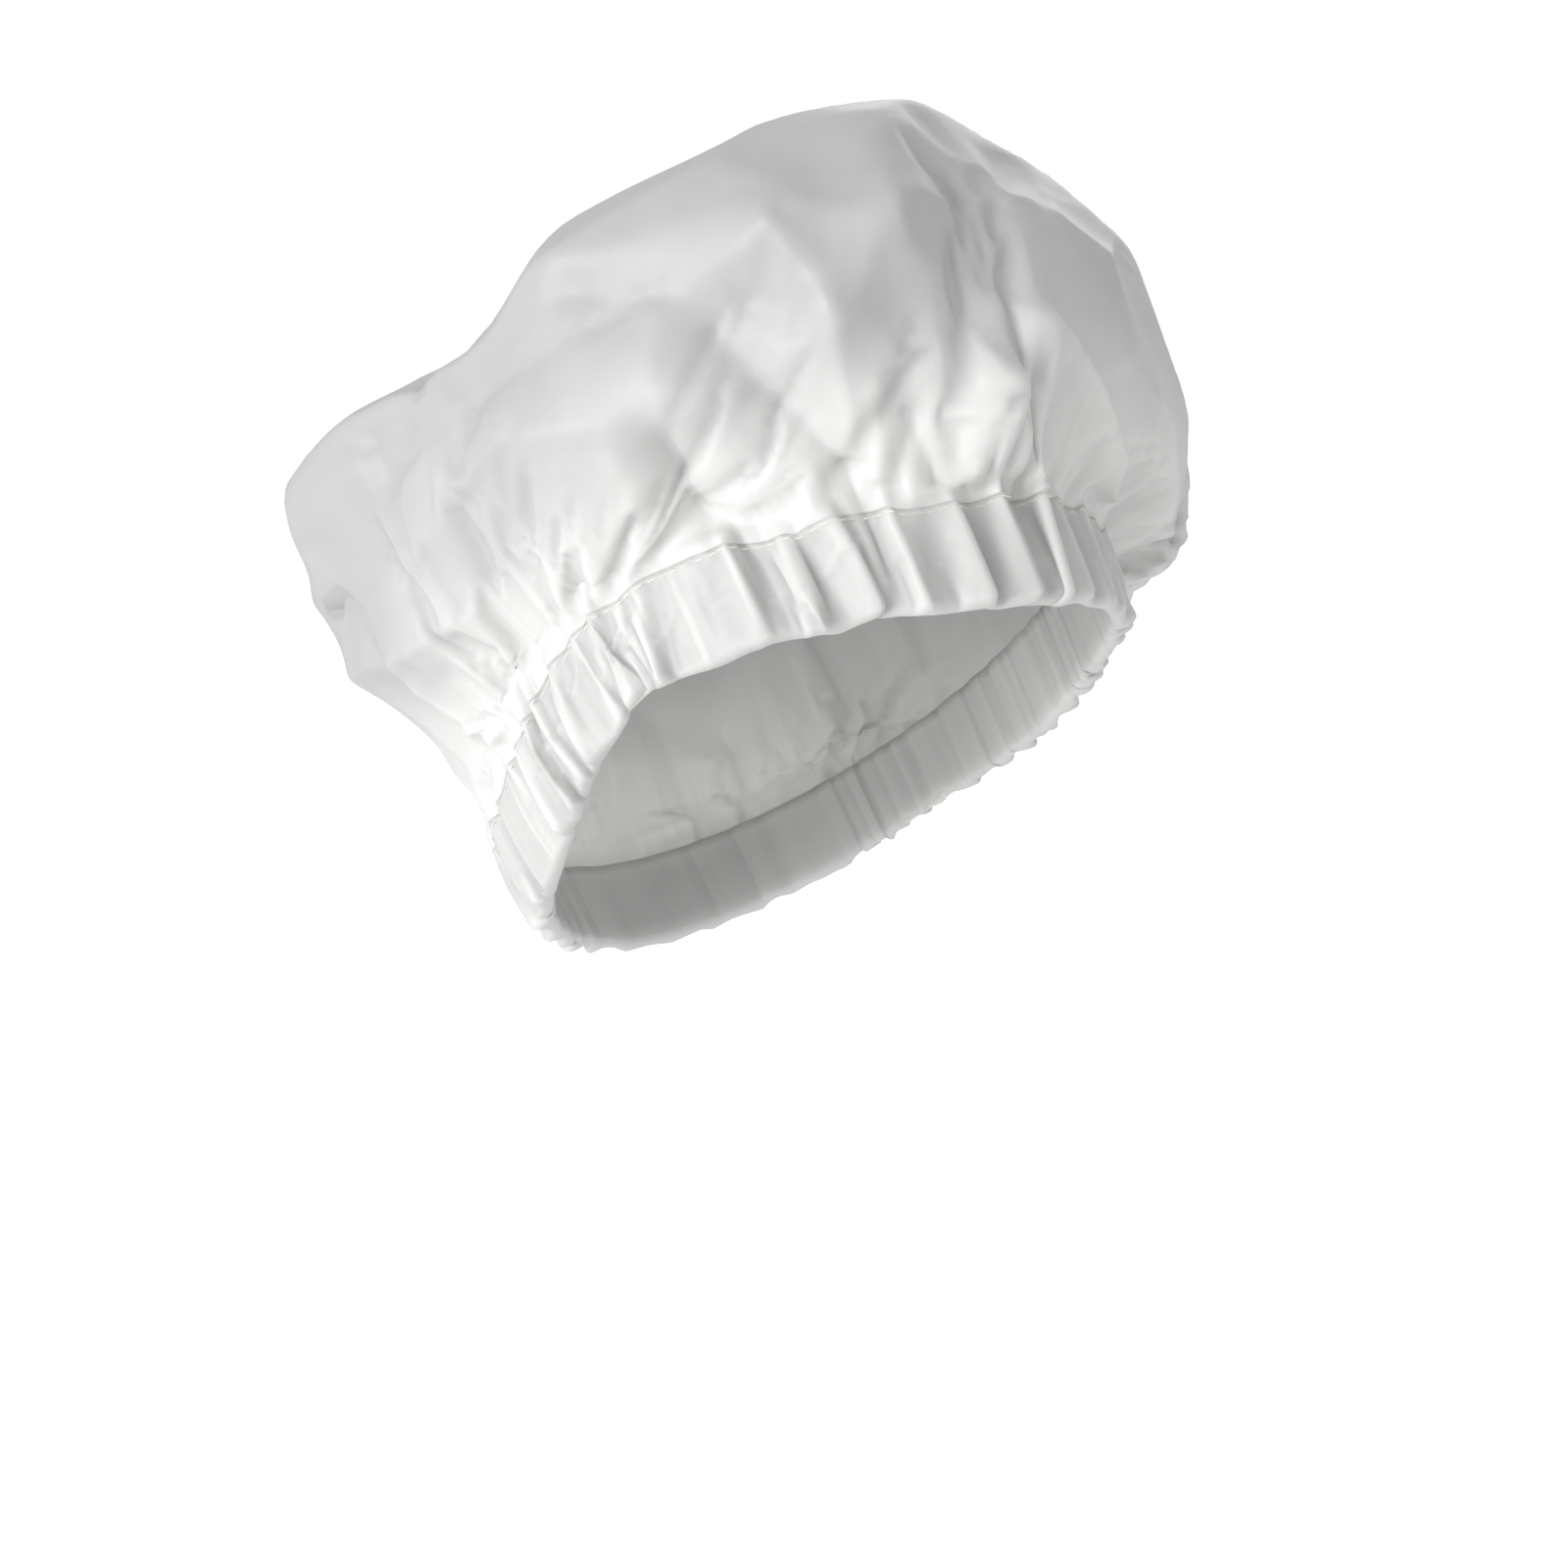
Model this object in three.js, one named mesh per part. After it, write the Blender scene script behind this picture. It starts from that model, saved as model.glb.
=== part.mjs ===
// A gathered plastic-film shower cap, in the puffed form it has when it is worn.
// Millimetres, +Z up. The origin is the middle of the hem ring, the front is at -Y
// and the wearer's left at +X. Inside the cap group, z runs along the hem's own axis.
import * as THREE from "three";

// Driving dimensions
const HEM_TILT_DEG = 43;
const HEM_HALF_WIDTH = 79;
const HEM_HALF_DEPTH = 105;
const CASING_HEIGHT = 27;
const CASING_FLARE = 2;
const FILM_WALL = 1;
const CLEARANCE = 0.4;
const ELASTIC_HEIGHT = 20;
const ELASTIC_THICKNESS = 1.2;

// Gathers: the pleats that the elastic draws the hem into
const PLEATS = 42;
const COLUMNS_PER_PLEAT = 4;
const PLEAT_DEPTH = 3;
const INNER_PLEAT_DEPTH = 0.8;
const HEM_SCALLOP = 0.8;
const PLEAT_DRIFT = [
  { waves: 5, swing: 0.05, phase: 0.4 },
  { waves: 11, swing: 0.028, phase: 2.1 },
];

// The casing's section, as heights above the hem edge
const CASING_PUFF = 1.2;
const FOLD_RISE = 1.8;
const LEAF_BEND_DROP = 2.4;

const FULL_TURN = 2 * Math.PI;
const DEGREE = Math.PI / 180;
const SEAM_RISE = CASING_HEIGHT + CLEARANCE;
const SEAM_DEPTH = HEM_HALF_DEPTH + CASING_FLARE;
const SEAM_WIDTH = HEM_HALF_WIDTH + CASING_FLARE;
const COLUMNS = PLEATS * COLUMNS_PER_PLEAT;

// A table as rows under named columns
function table(columns, rows) {
  return rows.map((row) => Object.fromEntries(row.map((value, index) => [columns[index], value])));
}

// Sections of the crown from the seam to the middle of the top, in four directions round
// the cap: the reach from the cap's axis and the rise above the hem.
const SECTIONS = table(
  [
    "name", "frontReach", "frontRise", "leftReach", "leftRise",
    "backReach", "backRise", "rightReach", "rightRise",
  ],
  [
    ["seam", SEAM_DEPTH, SEAM_RISE, SEAM_WIDTH, SEAM_RISE, SEAM_DEPTH, SEAM_RISE, SEAM_WIDTH, SEAM_RISE],
    ["neck", 111, 33, 87, 31.5, 107, 34, 82, 33],
    ["roll", 121, 42, 113, 22.5, 104, 46, 85, 44],
    ["hip", 134, 58, 128, 45, 99, 67, 95, 61],
    ["belly", 144, 82, 127, 76, 104, 88, 103, 81],
    ["flank", 139, 104, 118, 101, 108, 110, 103, 102],
    ["shoulder", 124, 123, 103, 119, 104, 129, 98, 118],
    ["brow", 96, 138, 77, 134, 83, 142, 76, 130],
    ["top", 52, 147, 42, 144, 45, 148, 41, 140],
    ["apex", 0, 147, 0, 147, 0, 147, 0, 147],
  ],
);
const SECTION_PITCH = 22;

// How the hem leaves its plane: it rides up over the right temple and dips over the forehead.
// The crown follows it up to the fade's section.
const HEM_BENDS = table(
  ["name", "angle", "spread", "rise"],
  [
    ["right temple", -57, 36, 16.5],
    ["forehead", 10, 35, -6],
  ],
);
const BEND_FADE_FROM = 0.5;
const BEND_FADE_TO = 3.2;

// Folds, swells and dents of the crown, each along a line from one place to another. A place
// is the angle round the cap in degrees, from the front towards the wearer's left, and the
// section's number. Height is positive for what stands out of the film, negative for what
// sinks into it.
const FOLDS = table(
  ["name", "fromAngle", "fromSection", "toAngle", "toSection", "height", "width", "shape"],
  [
    ["back lobe", -104, 6.1, -92, 5.9, 9.5, 22, "swell"],
    ["lobe saddle", -55, 5.2, -62, 6.4, -7.5, 20, "swell"],
    ["lobe crease", -88, 5.8, -70, 5.2, -2.5, 9, "crease"],
    ["crown peak", -2, 6.1, 5, 6.2, 4, 18, "swell"],
    ["left slope", 14, 4.3, 26, 3.8, -6, 20, "swell"],
    ["hip corner", -124, 4, -84, 3, 4.5, 10, "crease"],
    ["hollow under corner", -120, 2.6, -100, 2.4, -3, 14, "swell"],
    ["upper edge", -38, 5.5, -18, 4.7, 2.5, 13, "crease"],
    ["brow valley", -38, 5.1, -20, 3.7, -4.5, 9, "crease"],
    ["centre ridge", -18, 4.4, -16, 3.5, 3.5, 8, "crease"],
    ["centre ridge tail", -16, 3.5, -17, 1.8, 3, 7, "crease"],
    ["facet edge", -26, 3.8, -34, 3.3, 3, 9, "crease"],
    ["long diagonal", -26, 3.7, -18, 1.6, -6.5, 9, "crease"],
    ["front crease", -4, 5.1, -7, 4, 2.5, 10, "crease"],
    ["front crease tail", -7, 4, -1, 2.5, 3, 10, "crease"],
    ["bright facet", 8, 4, 2, 2.5, 4.5, 10, "crease"],
    ["facet hollow", 1, 4.2, -1, 3, -3, 8, "crease"],
    ["lapped pleat", 0, 2.4, 12, 0.9, 6, 10, "lap"],
    ["second lap", 6, 2.9, 30, 1.1, 6, 11, "lap"],
    ["third lap", 34, 2.4, 56, 1.5, 4, 11, "lap"],
    ["deep pleat", -36, 3, -36, 0.8, -7, 8, "crease"],
    ["right puff", -53, 2.4, -46, 2.3, 4.5, 15, "swell"],
    ["centre puff", -29, 2.3, -27, 1.9, 3.5, 10, "swell"],
    ["first rib", -13, 2.6, -14, 1.3, 3, 5, "crease"],
    ["rib valley", -9, 2.2, -7, 0.9, -3.5, 5, "crease"],
    ["second rib", -1, 2, -4, 0.8, 4, 5, "crease"],
    ["right gather", -74, 3, -76, 1, -4, 8, "crease"],
    ["right back gather", -104, 2.8, -98, 1, 3, 8, "crease"],
    ["left gather", 78, 4.6, 84, 2.4, -4, 12, "crease"],
    ["left back gather", 112, 4.8, 108, 2.2, -4, 12, "crease"],
    ["back gather", 146, 5, 152, 2, -4.5, 12, "crease"],
    ["back ridge", 172, 5.4, 178, 2.2, 3.5, 12, "crease"],
    ["back valley", -158, 5, -152, 2, -4.5, 11, "crease"],
  ],
);
const PROFILE_POWER = { crease: 1.2, swell: 2, lap: 1.2 };
const LAP_DROP_SHARE = 0.28;

// Waves of the gathers in the crown, strongest at one section and fading either way
const GATHERS = [
  { waves: PLEATS, height: 2, section: 0.3, spread: 0.9, phase: 0 },
  { waves: PLEATS / 2, height: 2.8, section: 1.5, spread: 1, phase: 0.6 },
  { waves: 13, height: 2.6, section: 2.6, spread: 1.1, phase: 2 },
  { waves: 7, height: 2, section: 3.9, spread: 1.3, phase: 0.9 },
];
const GATHER_SWELL = { waves: 3, share: 0.35, phase: 1.1 };

// Rings of mesh columns: dense where the film is gathered, sparse over the top
const RING_BANDS = [
  { columns: COLUMNS, sections: [0, 0.35, 0.7, 1.05, 1.45] },
  { columns: COLUMNS / 2, sections: [1.9, 2.35, 2.8, 3.25, 3.7, 4.2, 4.7, 5.2] },
  { columns: COLUMNS / 4, sections: [5.75, 6.3, 6.85] },
  { columns: COLUMNS / 8, sections: [7.5, 8.25] },
];
const ELASTIC_COLUMNS = COLUMNS / 2;

const FILM = { color: 0xe9ebe8, roughness: 0.36, metalness: 0 };
const ELASTIC = { color: 0xf1efe8, roughness: 0.85, metalness: 0 };

// Smooth curve through equally spaced values
function spline(values, position) {
  const last = values.length - 1;
  const index = Math.min(Math.floor(position), last - 1);
  const step = position - index;
  const here = values[index];
  const next = values[index + 1];
  const before = index > 0 ? values[index - 1] : 2 * here - next;
  const after = index + 2 <= last ? values[index + 2] : 2 * next - here;
  const slope = next - before;
  const bend = 2 * before - 5 * here + 4 * next - after;
  const twist = 3 * (here - next) + after - before;
  return here + 0.5 * step * (slope + step * (bend + step * twist));
}

function columnCurve(column) {
  const values = SECTIONS.map((section) => section[column]);
  return (position) => spline(values, position);
}

const MERIDIANS = {};
for (const direction of ["front", "left", "back", "right"]) {
  MERIDIANS[direction] = { reach: columnCurve(`${direction}Reach`), rise: columnCurve(`${direction}Rise`) };
}

function ellipseReach(angle, halfDepth, halfWidth) {
  const across = halfWidth * Math.cos(angle);
  const along = halfDepth * Math.sin(angle);
  return (halfDepth * halfWidth) / Math.hypot(across, along);
}

function polarPoint(angle, reach, rise) {
  return new THREE.Vector3(reach * Math.sin(angle), -reach * Math.cos(angle), rise);
}

function wrapAngle(angle) {
  return angle - FULL_TURN * Math.round(angle / FULL_TURN);
}

function hemBend(angle) {
  let rise = 0;
  for (const bend of HEM_BENDS) {
    const away = wrapAngle(angle - bend.angle * DEGREE) / (bend.spread * DEGREE);
    rise += bend.rise * Math.exp(-away * away);
  }
  return rise;
}

// The puffed form before any fold, at an angle and a section
function formPoint(angle, section) {
  const fore = Math.cos(angle) >= 0 ? MERIDIANS.front : MERIDIANS.back;
  const side = Math.sin(angle) >= 0 ? MERIDIANS.left : MERIDIANS.right;
  const reach = ellipseReach(angle, fore.reach(section), side.reach(section));
  const foreShare = Math.cos(angle) ** 2;
  const level = foreShare * fore.rise(section) + (1 - foreShare) * side.rise(section);
  const bendShare = 1 - THREE.MathUtils.smoothstep(section, BEND_FADE_FROM, BEND_FADE_TO);
  return polarPoint(angle, reach, level + hemBend(angle) * bendShare);
}

function formNormal(angle, section) {
  const step = 0.01;
  const round = formPoint(angle + step, section).sub(formPoint(angle - step, section));
  const up = formPoint(angle, section + step).sub(formPoint(angle, Math.max(section - step, 0)));
  return round.cross(up).normalize();
}

// Signed height of one fold at a point of the film
function foldHeight(fold, angle, section, reach) {
  const acrossStart = wrapAngle(angle - fold.fromAngle * DEGREE) * reach;
  const upStart = (section - fold.fromSection) * SECTION_PITCH;
  const acrossRun = wrapAngle((fold.toAngle - fold.fromAngle) * DEGREE) * reach;
  const upRun = (fold.toSection - fold.fromSection) * SECTION_PITCH;
  const length = Math.hypot(acrossRun, upRun);
  const along = (acrossStart * acrossRun + upStart * upRun) / (length * length);
  const nearest = THREE.MathUtils.clamp(along, 0, 1);
  const distance = Math.hypot(acrossStart - nearest * acrossRun, upStart - nearest * upRun);
  const side = acrossRun * upStart - upRun * acrossStart;
  const dropSide = fold.shape === "lap" && side > 0;
  const width = dropSide ? fold.width * LAP_DROP_SHARE : fold.width;
  return fold.height * Math.exp(-((distance / width) ** PROFILE_POWER[fold.shape]));
}

// Pleats wander a little from even spacing: the turn is even, the angle is not
function pleatAngle(turn) {
  let angle = turn;
  for (const drift of PLEAT_DRIFT) {
    angle += drift.swing * Math.sin(drift.waves * turn + drift.phase);
  }
  return angle;
}

function gatherHeight(turn, section) {
  const swell = 1 + GATHER_SWELL.share * Math.sin(GATHER_SWELL.waves * turn + GATHER_SWELL.phase);
  let height = 0;
  for (const gather of GATHERS) {
    const fade = Math.exp(-(((section - gather.section) / gather.spread) ** 2));
    height += gather.height * fade * Math.cos(gather.waves * turn + gather.phase);
  }
  return height * swell;
}

// How far the pleat's valley is drawn in from its crest at the hem
function pleatTuck(turn, depth) {
  return 0.5 * depth * (1 - Math.cos(PLEATS * turn));
}

// The crown's outer face. The hem's tucks pass smoothly into the film's own folds
function crownPoint(turn, section) {
  const angle = pleatAngle(turn);
  const base = formPoint(angle, section);
  const reach = Math.hypot(base.x, base.y);
  const ease = THREE.MathUtils.smoothstep(section, 0, 1);
  let height = gatherHeight(turn, section);
  for (const fold of FOLDS) {
    height += foldHeight(fold, angle, section, reach);
  }
  const tuck = polarPoint(angle, -pleatTuck(turn, PLEAT_DEPTH) * (1 - ease), 0);
  return base.add(tuck).addScaledVector(formNormal(angle, section), height * ease);
}

function meshOf(name, positions, triangles, finish) {
  const coordinates = positions.flatMap((point) => point.toArray());
  const geometry = new THREE.BufferGeometry();
  geometry.setAttribute("position", new THREE.Float32BufferAttribute(coordinates, 3));
  geometry.setIndex(triangles.flat());
  geometry.computeVertexNormals();
  const mesh = new THREE.Mesh(geometry, new THREE.MeshStandardMaterial(finish));
  mesh.name = name;
  return mesh;
}

// Triangles between two rings with the same columns, or half as many in the upper one
function ringStrip(lower, upper) {
  const triangles = [];
  const ratio = lower.columns / upper.columns;
  for (let column = 0; column < upper.columns; column += 1) {
    const topHere = upper.start + column;
    const topNext = upper.start + ((column + 1) % upper.columns);
    const low = [];
    for (let step = 0; step <= ratio; step += 1) {
      low.push(lower.start + ((column * ratio + step) % lower.columns));
    }
    triangles.push([low[0], low[1], topHere]);
    if (ratio === 1) {
      triangles.push([low[1], topNext, topHere]);
    } else {
      triangles.push([topHere, low[1], topNext]);
      triangles.push([low[1], low[2], topNext]);
    }
  }
  return triangles;
}

// One skin of the crown: rings of points, the strips between them and a fan over the top
function crownSkin() {
  const positions = [];
  const rings = [];
  for (const band of RING_BANDS) {
    for (const section of band.sections) {
      rings.push({ start: positions.length, columns: band.columns });
      for (let column = 0; column < band.columns; column += 1) {
        positions.push(crownPoint((FULL_TURN * column) / band.columns, section));
      }
    }
  }
  const triangles = [];
  for (let ring = 1; ring < rings.length; ring += 1) {
    triangles.push(...ringStrip(rings[ring - 1], rings[ring]));
  }
  const apex = positions.length;
  positions.push(new THREE.Vector3(0, 0, MERIDIANS.front.rise(SECTIONS.length - 1)));
  const last = rings[rings.length - 1];
  for (let column = 0; column < last.columns; column += 1) {
    triangles.push([last.start + column, last.start + ((column + 1) % last.columns), apex]);
  }
  return { positions, triangles };
}

// The crown: an open film shell, the same wall everywhere, with a flat rim at the seam
function buildCrown() {
  const skin = crownSkin();
  const normals = meshOf("skin", skin.positions, skin.triangles, FILM).geometry.getAttribute("normal");
  const count = skin.positions.length;
  const inner = skin.positions.map((point, index) => {
    const inward = new THREE.Vector3().fromBufferAttribute(normals, index).multiplyScalar(-FILM_WALL);
    if (index < COLUMNS) {
      inward.set(-point.x, -point.y, 0).setLength(FILM_WALL);
    }
    return point.clone().add(inward);
  });
  const triangles = [...skin.triangles];
  for (const [first, second, third] of skin.triangles) {
    triangles.push([first + count, third + count, second + count]);
  }
  for (let column = 0; column < COLUMNS; column += 1) {
    const next = (column + 1) % COLUMNS;
    triangles.push([column, column + count, next], [next, column + count, next + count]);
  }
  return meshOf("crown", [...skin.positions, ...inner], triangles, FILM);
}

// A closed ring made of one polygon section for each column
function ringSolid(name, columns, sectionAt, finish) {
  const positions = [];
  for (let column = 0; column < columns; column += 1) {
    positions.push(...sectionAt((FULL_TURN * column) / columns));
  }
  const corners = positions.length / columns;
  const triangles = [];
  for (let column = 0; column < columns; column += 1) {
    const here = column * corners;
    const next = ((column + 1) % columns) * corners;
    for (let corner = 0; corner < corners; corner += 1) {
      const after = (corner + 1) % corners;
      triangles.push([here + corner, here + after, next + corner]);
      triangles.push([next + corner, here + after, next + after]);
    }
  }
  return meshOf(name, positions, triangles, finish);
}

function hemReach(angle, rise) {
  const flare = (CASING_FLARE * rise) / CASING_HEIGHT;
  return ellipseReach(angle, HEM_HALF_DEPTH + flare, HEM_HALF_WIDTH + flare);
}

// A point of the hem by its depth below the outer crests and its rise above the hem's edge
function hemPoint(angle, depth, rise) {
  return polarPoint(angle, hemReach(angle, rise) - depth, rise + hemBend(angle));
}

// Depth of the channel's two faces below the casing's outer crests
const OUTER_FACE_DEPTH = PLEAT_DEPTH + FILM_WALL + CLEARANCE;
const INNER_FACE_DEPTH = OUTER_FACE_DEPTH + ELASTIC_THICKNESS + CLEARANCE;

// The hem casing: the film turned in under the elastic and up to the seam again
function casingSection(turn) {
  const angle = pleatAngle(turn);
  const tuck = pleatTuck(turn, PLEAT_DEPTH);
  const innerTuck = pleatTuck(turn, INNER_PLEAT_DEPTH);
  const scallop = (HEM_SCALLOP * tuck) / PLEAT_DEPTH;
  const middle = CASING_HEIGHT / 2;
  const bend = CASING_HEIGHT - LEAF_BEND_DROP;
  const corner = (depth, rise) => hemPoint(angle, depth, rise);
  const leafTop = tuck + FILM_WALL + CLEARANCE;
  const inside = INNER_FACE_DEPTH + innerTuck;
  return [
    corner(tuck, CASING_HEIGHT),
    corner(tuck - CASING_PUFF, middle),
    corner(tuck, FOLD_RISE),
    corner(INNER_FACE_DEPTH / 2, scallop),
    corner(inside + FILM_WALL, FOLD_RISE),
    corner(inside + FILM_WALL, bend),
    corner(leafTop + FILM_WALL, CASING_HEIGHT),
    corner(leafTop, CASING_HEIGHT),
    corner(inside, bend),
    corner(inside, FOLD_RISE + FILM_WALL),
    corner(tuck + FILM_WALL, FOLD_RISE + FILM_WALL),
    corner(tuck + FILM_WALL - CASING_PUFF, middle),
    corner(tuck + FILM_WALL, CASING_HEIGHT),
  ];
}

// The flat elastic that runs round inside the casing
function elasticSection(turn) {
  const low = FOLD_RISE + FILM_WALL + CLEARANCE;
  const high = low + ELASTIC_HEIGHT;
  const corner = (depth, rise) => hemPoint(turn, depth, rise);
  const outside = OUTER_FACE_DEPTH;
  const inside = OUTER_FACE_DEPTH + ELASTIC_THICKNESS;
  return [corner(outside, high), corner(outside, low), corner(inside, low), corner(inside, high)];
}

const cap = new THREE.Group();
cap.rotation.x = -HEM_TILT_DEG * DEGREE;
cap.add(buildCrown());
cap.add(ringSolid("hem_casing", COLUMNS, casingSection, FILM));
cap.add(ringSolid("elastic", ELASTIC_COLUMNS, elasticSection, ELASTIC));

const group = new THREE.Group();
group.add(cap);

export default group;
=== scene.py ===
"""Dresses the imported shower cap: gathered film crown, pleated hem casing, seam stitches and elastic."""

import logging
import math
from dataclasses import dataclass, replace
from enum import Enum
from typing import Any, NamedTuple

import bpy
import numpy as np
from mathutils import Matrix, Vector


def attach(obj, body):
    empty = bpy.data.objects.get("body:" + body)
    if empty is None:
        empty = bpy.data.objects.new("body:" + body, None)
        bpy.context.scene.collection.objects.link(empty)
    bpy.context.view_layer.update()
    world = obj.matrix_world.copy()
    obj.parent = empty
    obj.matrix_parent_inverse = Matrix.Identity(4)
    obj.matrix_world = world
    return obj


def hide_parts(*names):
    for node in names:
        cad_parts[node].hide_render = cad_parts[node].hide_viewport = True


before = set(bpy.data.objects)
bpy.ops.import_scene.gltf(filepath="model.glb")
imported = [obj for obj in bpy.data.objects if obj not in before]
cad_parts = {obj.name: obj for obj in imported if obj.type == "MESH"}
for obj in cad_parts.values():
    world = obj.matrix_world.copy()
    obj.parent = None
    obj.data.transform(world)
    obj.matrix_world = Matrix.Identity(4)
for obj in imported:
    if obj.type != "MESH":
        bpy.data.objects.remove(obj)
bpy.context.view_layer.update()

LOG = logging.getLogger("shower_cap")
MM = 0.001
FULL_TURN = 2.0 * math.pi
TINY = 1e-6
BODY = "root"
IMAGE_SIDE = 1600.0
SENSOR_MM = 36.0

Array = np.ndarray
Faces = list[tuple[int, ...]]
Range = tuple[float, float]
Colour = tuple[float, float, float, float]

# Levels count the crown's sections up from the seam, and the hem's edge lies this far below it.
HEM_LEVEL = -1.1
WHITE: Colour = (1.0, 1.0, 1.0, 1.0)


class Slot(Enum):
    """The record's material slots."""

    FILM = "film"
    TEXTILE = "textile"


class FoldShape(Enum):
    """How a fold of the film falls away from its line."""

    CREASE = "crease"
    SWELL = "swell"
    LAP = "lap"


class Section(NamedTuple):
    """One level of the crown: reach from the cap's axis and rise above the hem, in millimetres."""

    name: str
    front_reach: float
    front_rise: float
    left_reach: float
    left_rise: float
    back_reach: float
    back_rise: float
    right_reach: float
    right_rise: float


class Fold(NamedTuple):
    """A fold along a line. Angles are in degrees from the front, heights and widths in millimetres."""

    name: str
    from_angle: float
    from_section: float
    to_angle: float
    to_section: float
    height: float
    width: float
    shape: FoldShape


class HemBend(NamedTuple):
    """A place where the hem leaves its plane. Angles are in degrees, the rise in millimetres."""

    name: str
    angle: float
    spread: float
    rise: float


HEM_BENDS: tuple[HemBend, ...] = (
    HemBend("right temple", -57, 36, 16.5),
    HemBend("forehead", 10, 35, -6),
)

CREASE, SWELL, LAP = FoldShape.CREASE, FoldShape.SWELL, FoldShape.LAP

SECTIONS: tuple[Section, ...] = (
    Section("seam", 107, 27.4, 81, 27.4, 107, 27.4, 81, 27.4),
    Section("neck", 111, 33, 87, 31.5, 107, 34, 82, 33),
    Section("roll", 121, 42, 113, 22.5, 104, 46, 85, 44),
    Section("hip", 134, 58, 128, 45, 99, 67, 95, 61),
    Section("belly", 144, 82, 127, 76, 104, 88, 103, 81),
    Section("flank", 139, 104, 118, 101, 108, 110, 103, 102),
    Section("shoulder", 124, 123, 103, 119, 104, 129, 98, 118),
    Section("brow", 96, 138, 77, 134, 83, 142, 76, 130),
    Section("top", 52, 147, 42, 144, 45, 148, 41, 140),
    Section("apex", 0, 147, 0, 147, 0, 147, 0, 147),
)

FOLDS: tuple[Fold, ...] = (
    Fold("back lobe", -104, 6.1, -92, 5.9, 9.5, 22, SWELL),
    Fold("lobe saddle", -55, 5.2, -62, 6.4, -7.5, 20, SWELL),
    Fold("lobe crease", -88, 5.8, -70, 5.2, -2.5, 9, CREASE),
    Fold("crown peak", -2, 6.1, 5, 6.2, 4, 18, SWELL),
    Fold("left slope", 14, 4.3, 26, 3.8, -4, 20, SWELL),
    Fold("hip corner", -124, 4, -84, 3, 4.5, 10, CREASE),
    Fold("hollow under corner", -120, 2.6, -100, 2.4, -3, 14, SWELL),
    Fold("upper edge", -38, 5.5, -18, 4.7, 3.2, 13, CREASE),
    Fold("brow valley", -38, 5.1, -20, 3.7, -5.5, 9, CREASE),
    Fold("centre ridge", -18, 4.4, -16, 3.5, 4.5, 8, CREASE),
    Fold("centre ridge tail", -16, 3.5, -17, 1.8, 3.5, 7, CREASE),
    Fold("facet edge", -26, 3.8, -34, 3.3, 4, 9, CREASE),
    Fold("long diagonal", -26, 3.7, -18, 1.6, -8, 9, CREASE),
    Fold("front crease", -4, 5.1, -7, 4, 3.2, 10, CREASE),
    Fold("front crease tail", -7, 4, -1, 2.5, 3, 10, CREASE),
    Fold("bright facet", 8, 4, 2, 2.5, 4, 10, CREASE),
    Fold("facet hollow", 1, 4.2, -1, 3, -3.5, 8, CREASE),
    Fold("lapped pleat", 0, 2.4, 6.5, 0.3, 6, 10, LAP),
    Fold("second lap", 6, 2.9, 30, 1.1, 6, 11, LAP),
    Fold("third lap", 34, 2.4, 56, 1.5, 4, 11, LAP),
    Fold("deep pleat", -36, 3, -36, 0.8, -8, 8, CREASE),
    Fold("right puff", -53, 2.4, -46, 2.3, 4.5, 15, SWELL),
    Fold("centre puff", -29, 2.3, -27, 1.9, 3.5, 10, SWELL),
    Fold("first rib", -13, 2.6, -14, 1.3, 3.5, 5, CREASE),
    Fold("rib valley", -9, 2.2, -7, 0.9, -4.5, 5, CREASE),
    Fold("second rib", -1, 2, -4, 0.8, 4.5, 5, CREASE),
    Fold("right gather", -74, 3, -76, 1, -4, 8, CREASE),
    Fold("right back gather", -104, 2.8, -98, 1, 3, 8, CREASE),
    Fold("left gather", 78, 4.6, 84, 2.4, -4, 12, CREASE),
    Fold("left back gather", 112, 4.8, 108, 2.2, -4, 12, CREASE),
    Fold("back gather", 146, 5, 152, 2, -4.5, 12, CREASE),
    Fold("back ridge", 172, 5.4, 178, 2.2, 3.5, 12, CREASE),
    Fold("back valley", -158, 5, -152, 2, -4.5, 11, CREASE),
)

CASING_FOLDS: tuple[Fold, ...] = (
    Fold("deep slit", -35.5, 0.5, -38, HEM_LEVEL, 3, 8, LAP),
    Fold("lapped pleat foot", 6.5, 0.3, 6, HEM_LEVEL, 3, 8, LAP),
)

SWELLS: tuple[Fold, ...] = tuple(fold for fold in FOLDS if fold.shape is SWELL)


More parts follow.
